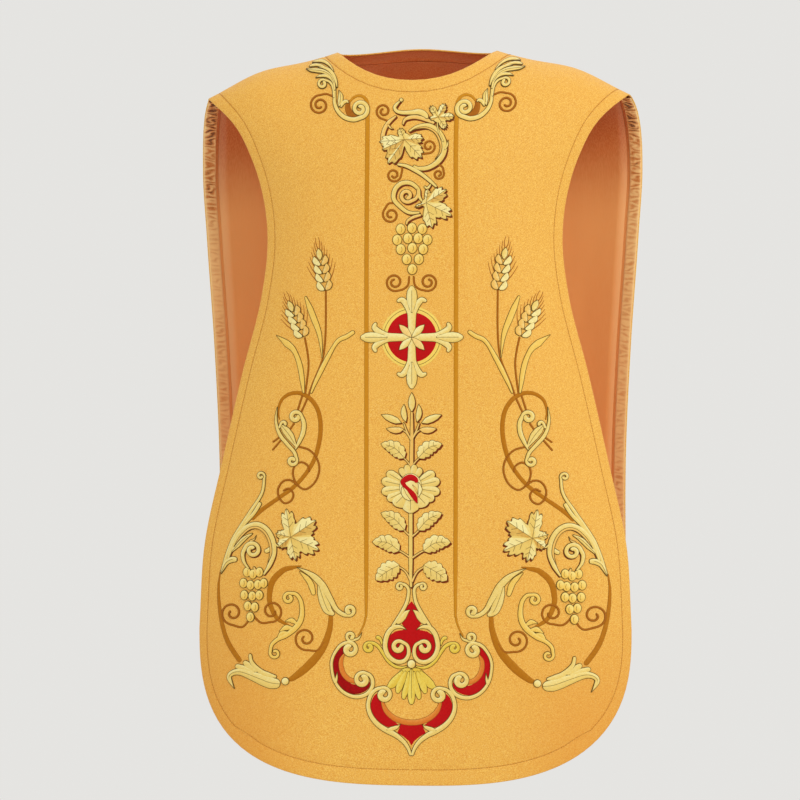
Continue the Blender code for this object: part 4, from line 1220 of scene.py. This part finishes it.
def rose_spray():
    art = Embroidery(CENTRE_LIGHT)
    art.band((0.5, -512), (0.5, -548), (0, -580), (0, -590), half=(2.2, 2.9, 3.2, 3.4), finish="peach",
             cast=2.4, tone=0.5)
    art.band((-1, -648), (-1, -690), (-1, -735), (-0.5, -752), half=(3.3, 3.3, 3.4, 2.4), cast=2.4,
             tone=0.5)
    for side in (-1, 1):
        art.band((0, -552), (side * 6, -540), (side * 11, -527), half=(2.0, 1.9, 1.6), finish="peach",
                 cast=1.6)
        art.band((0, -551), (side * 7, -541), (side * 12, -537.5), half=(1.8, 1.6), finish="peach",
                 cast=1.4)
        art.band((side * 7.5, -527), (side * 10.5, -514), (side * 10, -502),
                 half=(0.6, 3.9, 4.6, 3.4, 0.4), level=0.4, cast=1.8)
        art.band((side * 13.4, -528), (side * 27, -522.3), (side * 41.4, -516.5),
                 half=(0.6, 4.8, 5.4, 4.2, 0.4), level=0.4, cast=1.8)
        art.band((side * 9.8, -536.5), (side * 22, -537.8), (side * 34.7, -535.7),
                 half=(0.6, 4.4, 5.0, 3.8, 0.5), level=0.3, finish="peach", cast=1.8)
        art.band((0, -588), (side * 6, -580), (side * 12, -574), half=(1.8, 1.6), finish="peach", cast=1.6)
        art.leaf((side * 9, -576), (side * 42, -556), 10.8, bend=side * 0.12)
        art.band((0, -683), (side * 8, -676), (side * 13, -669), half=(2.0, 1.6), finish="peach", cast=1.5)
        art.leaf((side * 9, -674), (side * 42, -650), 10.8, bend=side * 0.1)
        art.band((0, -712), (side * 12, -704), (side * 20, -700), half=(2.0, 1.6), finish="peach", cast=1.5)
        art.leaf((side * 16, -702), (side * 54, -690), 11.8, bend=side * 0.14)
        art.band((0, -745), (side * 8, -730), (side * 20, -722), half=(2.2, 1.6), finish="peach", cast=1.5)
        art.leaf((side * 16, -721), (side * 49, -742), 13.8, bend=side * 0.04)
    art.band((0.5, -513), (0.5, -499), (0.5, -486), half=(0.8, 4.6, 5.4, 4.0, 0.4), level=0.5, cast=1.8)
    middle = np.array((-1.0, -615.0))
    petals = ((62, 31), (118, 31), (80, 33), (100, 33), (32, 39), (148, 39), (12, 41), (168, 41),
              (-12, 41), (192, 41), (-32, 38), (212, 38))
    for k, (degrees, spread) in enumerate(petals):
        angle = math.radians(degrees)
        tip = middle + (spread * math.cos(angle), spread * 0.92 * math.sin(angle) + 1)
        root = middle + (9 * math.cos(angle), 10 * math.sin(angle))
        wide = 0.72 if k < 4 else 1.0
        art.band(root, 0.4 * root + 0.6 * tip, tip, half=np.array((3.0, 4.8, 6.9, 7.3, 5.2)) * wide,
                 level=0.45 + 0.06 * k, cast=1.8, vein=k >= 4)
    for degrees, spread in ((-48, 34), (228, 34), (-90, 36)):
        angle = math.radians(degrees)
        tip = middle + (spread * math.cos(angle), spread * math.sin(angle))
        root = middle + (10 * math.cos(angle), 12 * math.sin(angle))
        art.band(root, 0.4 * root + 0.6 * tip, tip, half=(6, 9, 12, 11.5, 7), level=1.2, cast=1.9,
                 vein=True, tone=0.66, scallops=2, depth=0.08)
    art.oval(middle, 15.8, 19.2, level=1.7, crown=0.6, tone=0.74, count=30)
    art.band((7.6, -609.5), (5.6, -604.8), (-1, -602), (-7.6, -604.6), (-11.6, -608.6), (-9, -613.2),
             (-4.4, -617.6), (0.6, -623.2), (4.6, -629), (8.4, -637.5),
             half=(2.4, 4.2, 4.9, 4.8, 3.8, 2.9, 2.6, 3.6, 4.2, 3.2, 0.4), finish="red", level=2.35,
             crown=0.3)
    art.band((-12.5, -614), (-9.5, -626), (-1, -634), half=(1, 3.6, 3.4, 1.2), level=2.05, tone=0.75,
             crown=0.5)
    art.band((9.5, -608), (12, -618), (9.5, -629), half=(1, 3.6, 1), level=2.05, tone=0.9, crown=0.5)
    art.band((1, -611), (6, -618), (9, -625), half=(0.8, 2.4, 0.8), level=2.0, finish="peach", tone=0.6,
             crown=0.4)
    return art


def cartouche():
    art = Embroidery(CENTRE_LIGHT)
    crest = ((0, -769), (8, -779), (11, -790), (13.5, -800), (10, -806), (12, -809), (22, -811),
             (31, -817), (34, -827), (33, -838), (27, -847), (18, -852), (8, -850), (3, -845), (0, -840))
    lower = ((0, -967), (4, -960.5), (11, -954.5), (20, -949.5), (17, -943), (16, -936), (0, -934))
    for middle, border in (((0, -820), crest), ((0, -947), lower)):
        whole = [*border, *[(-x, z) for x, z in border[-2:0:-1]]]
        art.blob(middle, whole, finish="red", crown=0.2, contrast=0.1, tone=0.6)
    for side in (-1, 1):

        def at(*places):
            return [(side * x, z) for x, z in places]

        # The yellow scroll that leaves the ball, and its small knob
        art.band(*at((5, -858.5), (14, -860.5), (23, -858.5), (32, -851.5), (39, -841), (45, -832.3),
                     (51.5, -828), (57, -827.4)), half=(1.4, 2.6, 2.8, 2.8, 3.0, 3.1, 3.2, 3.5, 4.2),
                 finish="yellow", curl=(6.2, 1.2, -side, 0.3), level=0.1)
        art.band(*at((40.5, -831), (41, -825), (44.5, -820), (49, -820.5)), half=(1, 2.4, 3.0, 3.6),
                 finish="yellow", level=0.05)
        # The heart: a stem from the top curl, a leaf inside it and the arch that ends in the lower curl
        art.band(*at((31, -809), (27, -805.5), (19.9, -795.8), (12.3, -783.7), (6.2, -771.5),
                     (3.9, -759.4), (4.4, -753), (8, -748.5), (13.5, -746.6)),
                 half=(0.6, 2.6, 3.0, 3.1, 3.1, 3.1, 2.9, 2.8, 2.8, 2.8, 2.8, 2.8),
                 curl=(4.4, 1.15, -side, 0.35), level=0.4)
        art.band(*at((1.2, -781.5), (7, -785.8), (13, -792.7), (20.5, -801)),
                 half=(0.4, 3.6, 5.4, 5.4, 3), level=0.3)
        art.band(*at((6.5, -809.5), (11, -806.4), (18, -804.8), (26, -807), (32.5, -815), (35.6, -826),
                     (35.4, -835.5), (31.5, -844.5), (24, -851), (16, -853), (8.8, -850.5), (4.4, -844),
                     (3.8, -836), (6.2, -829.6), (12.5, -825.8)),
                 half=(0.5, 3.2, 4.0, 4.0, 3.9, 3.9, 3.8, 3.7, 3.5, 3.2, 3.0, 3.2, 3.6, 4.4, 5.2),
                 curl=(8.2, 1.05, -side, 0.3), level=0.5)
        # The side scroll: red within a cream band, and an orange line inside. The left one's red has
        # painted shade, a darker tone than the right one's.
        art.band(*at((84, -832), (92, -835), (101, -846), (102.6, -858), (101, -870), (94.5, -882),
                     (84.6, -889.5), (72.5, -890.5), (62, -886), (58.5, -879)),
                 half=(2, 5.4, 7.2, 7.3, 7.2, 7.6, 7.6, 7.0, 6, 3), finish="red", crown=0.25,
                 contrast=0.1, tone=0.62 if side > 0 else 0.25)
        art.band(*at((90.5, -840.5), (95.6, -850), (96, -860), (92.2, -870.6), (84, -878), (72, -880.2)),
                 half=(0.8, 3.2, 3.7, 3.8, 3.7, 3.4), finish="orange", level=0.3, crown=0.4)
        art.band(*at((88, -827.3), (93.5, -829), (99.6, -834), (106.8, -845.6), (109.2, -858.3),
                     (105.8, -877.4), (96.8, -891.2), (84.8, -899), (72.5, -900.8), (60.8, -896.6),
                     (53.8, -887.5), (53, -878.5), (56.5, -871.6), (62, -869)),
                 half=(5.4, 4.2, 3.6, 3.1, 2.7, 2.6, 2.7, 2.9, 3.2, 3.4, 3.3, 3.2, 3.5, 4.4, 5.6),
                 curl=(9.8, 1.2, -side, 0.28), first=(9.8, 1.2, side, 0.28), level=0.5)
        art.band(*at((104.5, -884), (102.2, -875), (101.2, -866.5)), half=(3, 2.4, 0.3), level=0.45)
        # The foot scroll, made the same way
        art.band(*at((37, -896), (45.5, -901), (48, -912), (45, -922), (37.5, -930.5), (27.5, -937),
                     (17.5, -940.5)), half=(1.5, 6, 8.6, 9.4, 8.6, 6.4, 1.8), finish="red", crown=0.25,
                 contrast=0.1)
        art.band(*at((41, -888.6), (48, -890.6), (55, -897.5), (58.7, -908), (58.3, -918.5), (53.8, -929),
                     (45.3, -938.7), (33.5, -946.3), (21.5, -952.4), (11, -960.8), (4.4, -970),
                     (0.6, -980.5)), half=(5.4, 4.4, 3.6, 3.2, 3.3, 3.4, 3.6, 3.9, 4.3, 4.4, 3.8, 3.2,
                                           2.4), first=(9.8, 1.2, side, 0.28), level=0.5)
        art.band(*at((34, -946), (25, -943.5), (19, -941), (14.6, -937.4)), half=(2.5, 3.8, 3.2, 0.3),
                 level=0.55)
        # The palmette's petals
        art.band(*at((0, -862), (9, -872), (13, -882)), half=(2.5, 8, 10.5, 11, 5), finish="yellow",
                 level=0.05, tone=0.5)
        art.band(*at((11.5, -864.5), (20, -876), (27.5, -884.5), (33.5, -888.5)),
                 half=(1.8, 4.6, 6.2, 6.0, 2.6), finish="yellow", level=0.15, tone=0.66)
        art.band(*at((7.5, -864.5), (13.5, -879), (17.6, -890), (19.2, -896)),
                 half=(1.8, 3.9, 5.2, 5.3, 2.8), finish="yellow", level=0.25, tone=0.7)
        art.band(*at((3.4, -865), (6, -884), (9.4, -896.4), (11, -904)), half=(1.8, 3.2, 4.6, 4.8, 2.8),
                 finish="yellow", level=0.35, tone=0.7)
    art.band((0, -862), (0, -884), (0, -911), half=(2.6, 3.0, 3.8, 5.0, 5.8, 5.4, 3.0), finish="yellow",
             level=0.45, vein=True, tone=0.75)
    arc = ((39.5, -902), (38.5, -911), (33, -921.5), (22.5, -930), (10.5, -934.2))
    art.band(*arc, (0, -935.2), *[(-x, z) for x, z in arc[::-1]],
             half=(1.8, 3.6, 4.2, 4.2, 4.2, 4.2, 3.6, 1.8), finish="orange", level=0.3, crown=0.4)
    art.oval((0, -855.5), 6.1, 6.4, level=0.9, crown=0.8, tone=0.75)
    return art


def side_spray():
    art = Embroidery(SIDE_LIGHT)
    art.band((117, -347), (117, -392), (118.5, -422), (122.5, -444), (136, -477), (141, -492), half=1.4,
             finish="brown", crown=0.45)
    art.band((146, -411), (141.5, -436), (141, -455), (145.5, -490), half=1.4, finish="brown", crown=0.45)
    art.band((145, -355), (133.5, -385), (125.5, -408), (121.5, -440), half=(1.8, 4.4, 4.6, 3.8, 2.2, 1.0),
             finish="gold", level=0.2)
    art.band((77.5, -403), (88, -410), (101, -417), (114.5, -439), (130, -470), (137.5, -488),
             half=(3.2, 3.6, 3.0, 3.7, 3.8, 3.2, 1.8), finish="gold", level=0.25)
    art.band((185, -408), (171, -419), (160, -430), (152, -452), (147, -488),
             half=(0.5, 5.2, 3.6, 4.0, 3.6, 1.8), finish="gold", level=0.2)
    art.ear((117.6, -348), (127, -288.5))
    art.ear((147.5, -411), (167.5, -362))
    art.band((180.5, -524), (182.2, -511), (177.5, -496.5), (166, -488.3), (152.5, -487.5), (139.5, -494),
             (129, -508), (124.5, -526), (125, -547), (130, -570), (137, -586), (149, -603), (163, -617),
             (181, -630), (205, -647), (219, -660),
             half=(0.8, 2.0, 2.6, 3.1, 3.1, 3.2, 3.2, 3.2, 3, 2.8, 2.8, 2.8, 2.8, 3, 2.8),
             finish="bronze", **PLAIN_LINE)
    for start, end in (((149, -490), (156, -512)), ((142, -494), (151, -514)), ((160, -528), (169, -541)),
                       ((180, -547), (190, -554.5)), ((178, -551), (190.5, -565.5))):
        art.band(start, end, half=1.4, finish="brown", crown=0.5, level=0.1)
    knot_line = {"half": 1.35, "finish": "brown", "level": 0.4, "crown": 0.5}
    art.band((155, -560), (139.5, -565), (129, -577), (126, -592.5), (132, -609), (145, -618.5),
             (156.5, -612), (162, -599), (160, -587.5), (151, -581.5), (142, -586), (139.5, -595),
             **knot_line)
    art.band((157, -612), (166, -606), (176, -608), (182.5, -618.5), (181, -630), (173.5, -637.5),
             (164.5, -634), (161.5, -625), (168, -617.5), (176, -621), **knot_line)
    art.band((159, -565), (153, -553), (148, -541), (147, -528), (151, -518),
             half=(1.4, 3.2, 3.8, 3.6, 3.4, 3.4, 3.8, 4.4), curl=(7.4, 1.15, -1, 0.3), level=0.5)
    art.band((183, -506), (185, -521), (183.5, -534), (178.5, -546), (169, -557.5), (160, -568),
             (157, -577), half=(0.8, 2.0, 2.8, 3.2, 3.2, 3.0, 3.0, 3.2, 3.6), curl=(6.2, 1.15, 1, 0.33),
             level=0.6)
    art.band((178, -531), (168, -543), (161, -554), (156, -563), half=(2.8, 6, 6, 3.6, 1.2), level=0.45,
             vein=True)
    art.band((181, -536), (178, -529), half=(2.2, 2.6, 3.4), curl=(3.4, 0.6, 1, 0.7), level=0.7)
    return art


def great_scroll():
    art = Embroidery(SIDE_LIGHT)
    art.band((262, -731), (264.5, -752), (263.5, -778), (259, -806), (250, -831), (234, -855),
             half=(0.9, 2.0, 2.6, 3.0, 3.4, 3.6), finish="bronze", **PLAIN_LINE)
    art.band((110, -788), (112, -810), (122, -836), (140, -858), (159, -874), (168, -879),
             half=(3, 4.0, 4.8, 5.5, 6.0, 5.4, 3.4), finish="bronze", crown=0.5, contrast=0.1, step=2.0)
    art.band((150, -723), (160, -725), (175, -729), (190, -744), (194.5, -765), (192, -780),
             (183.5, -795), (166, -806), half=(0.8, 3.2, 4.2, 4.4, 4, 3.6, 3.2, 2.8, 1.2),
             finish="bronze", **PLAIN_LINE)
    art.spiral((222, -797), (232, -807), (247, -804), radius=16, turns=1.45, side=1, close=0.15)
    art.spiral((218, -790), (206, -801), (192, -800), radius=15, turns=1.3, side=-1, close=0.3)
    art.spiral((119, -826), (128, -838), (143, -838), radius=16, turns=1.5, side=1, close=0.15)
    art.band((201, -602), (204.5, -624), (220, -649), (233, -669), (244, -688), (253, -710), (261, -733),
             half=(2.6, 2.4, 2.6, 3.0, 3.2, 3.6, 3.0, 1.4), first=(5.0, 1.15, -1, 0.33), level=0.4)
    art.band((206, -636), (216, -652), (231, -669), (240, -686), half=(3.2, 3.2, 3.0, 1.8), level=0.35)
    art.band((252, -717), (245, -696), (235.5, -680), (222.5, -669.8), (209.5, -667.6), (197.6, -675),
             (190, -689.4), (188.6, -706), (194, -722), (202.5, -736),
             half=(1.6, 3.2, 4.2, 4.7, 4.8, 4.8, 4.8, 4.4, 3.6, 1.8), level=0.5, cast=1.2)
    art.band((243, -698), (233.5, -684), (222, -673.2), (210.5, -671.2), (200.5, -677.6), (193.8, -690.5),
             (192, -705.5), (196.4, -720), half=(0.5, 1.8, 2.1, 2.2, 2.2, 2.2, 2.0, 0.6), level=0.95,
             finish="peach", tone=0.5)
    art.band((247, -705), (234, -691), (226, -684), (217, -679), half=(1.5, 4, 3.6, 1.2), level=0.45,
             vein=True)
    art.band((191, -696), (196, -702), (201.5, -703.5), half=(1.8, 3.6, 3.4), level=0.4)
    art.band((261, -735), (254, -720), (246, -715), (238, -715), half=(0.8, 3.2, 4.6, 4.2), level=0.55,
             vein=True)
    art.band((222, -728), (229, -718), (230.8, -707), (227.5, -699),
             half=(1.8, 3.0, 3.4, 3.4, 3.4, 3.4, 3.6), curl=(10.6, 1.4, 1, 0.24), level=0.55, cast=1.4)
    art.band((222, -690), (215, -687), (212, -681), half=(2, 1.6, 0.4), level=0.4, finish="peach")
    art.band((190, -688), (183, -696), (176, -695), (170, -690), half=(2, 1.8, 1.6), level=0.4, cast=1.0)
    art.band((216, -724), (212, -732), (205, -735), half=(1.6, 3, 1.6), level=0.5, finish="peach", cast=0.8)
    rows = (
        ((225.1, -732), (216.9, -734.7), (208, -732)),
        ((229.8, -747), (220.2, -749.7), (210.1, -749), (202, -747)),
        ((228.6, -763.3), (217.7, -764.6), (208, -763.3)),
        ((223.7, -778.2), (214.2, -779.6)),
        ((220.2, -793.2),),
    )
    art.bunch(rows, 5.8, 7.2, level=0.6)
    art.vine_leaf((165, -684), ((81, 40, 0.6), (146, 42, 0.8), (204, 43, 0.76), (258, 33, 0.72),
                                (-38, 23, 0.8), (14, 22, 0.8)), level=0.7, cast=2.4)
    art.band((153, -730), (139, -745), (133, -763), half=(1, 4.0, 4.6, 3.2), finish="gold", level=0.3)
    art.band((127, -748), (120.5, -768), (114, -783), (105, -789.5), half=(1.6, 5.8, 7.4, 6.8, 2.6),
             level=0.45, vein=True)
    art.band((157, -724.5), (136, -735.5), (122, -749), (111.5, -766.4), (103, -781.5), (93.5, -788.6),
             (86, -789.6), half=(0.6, 3, 5.0, 5.4, 4.6, 4.0, 3.6, 3.4, 3.6, 4.6),
             curl=(6.6, 1.2, -1, 0.3), level=0.6)
    art.band((166, -760.5), (157.5, -762), (151, -772), (149.8, -790), (155.5, -804), (170, -817),
             (183, -823.5), (191, -831), (193, -840),
             half=(3.2, 3.0, 3.0, 3.2, 3.6, 4.2, 4.4, 3.8, 3.2, 2.8, 2.6, 2.6), curl=(6.8, 1.0, -1, 0.35),
             first=(6.8, 1.1, -1, 0.35), finish="gold", level=0.5)
    art.band((155, -803), (164, -797.5), (173, -799), half=(1.6, 4.2, 0.8), finish="gold", level=0.4)
    art.band((160, -809), (171, -807.5), (181, -813), half=(1.6, 4.6, 0.8), finish="gold", level=0.42)
    art.band((167, -814), (177, -815.5), (184.5, -823), half=(1.6, 4.2, 0.6), finish="gold", level=0.38)
    art.band((214, -870), (229, -864.5), (241.5, -859.5), half=(2, 4.8, 5.2, 3.4), level=0.35)
    art.band((210, -868), (221, -861.5), (230, -853.5), half=(2, 4.8, 5.2, 3.4), level=0.3)
    art.band((184, -875), (204, -869), (218, -856), (221, -843), half=(2.2, 4.4, 4.2, 3.4, 2.6), level=0.45)
    art.band((179, -884.5), (194, -882.5), (214, -875), (233, -868.5), (245, -870), (249.5, -877),
             (242, -892), half=(6.4, 8.6, 8.2, 6.8, 5.6, 4.4, 3.4, 0.4), level=0.55, vein=True)
    art.oval((172.5, -880.5), 5.6, 5.6, level=0.8, crown=0.8, tone=0.75)
    return art


def make_embroidery():
    for hand, side in ((-1, "left"), (1, "right")):
        lay(f"orphrey_line_thread_{side}", orphrey_line(), "tan_thread", [f"orphrey_line_{side}"], hand)
        lay(f"neck_scroll_thread_{side}", neck_scroll(), "cream_gold_thread", [f"neck_scroll_{side}"], hand)
        spray = ("wheat_tall", "wheat_short", "blade_inner", "blade_outer", "ring_stem", "knot")
        lay(f"wheat_spray_{side}", side_spray(), "cream_gold_thread",
            [f"{node}_{side}" for node in spray], hand)
        scroll = ("great_scroll", "hook", "vine_leaf", "grapes", "inner_scroll", "acanthus", "s_leaf",
                  "foot_leaf")
        lay(f"great_scroll_thread_{side}", great_scroll(), "cream_gold_thread",
            [f"{node}_{side}" for node in scroll], hand)
    vine = ["vine_stem", "vine_curl", "vine_leaf_upper", "vine_leaf_lower", "grapes_middle"]
    lay("chest_vine", chest_vine(), "cream_gold_thread", vine)
    lay("cross_thread", cross(), "cream_gold_thread", ["cross", "cross_ring"])
    roses = ["rose", "rose_stem"] + [f"rose_leaves_{k}" for k in range(1, 6)]
    lay("rose_spray", rose_spray(), "cream_gold_thread", roses)
    scrolls = [f"{kind}_scroll_{side}" for kind in ("heart", "side", "foot") for side in ("left", "right")]
    lay("cartouche", cartouche(), "cream_gold_thread", scrolls + ["palmette"])


make_stage()
make_cloth()
make_embroidery()
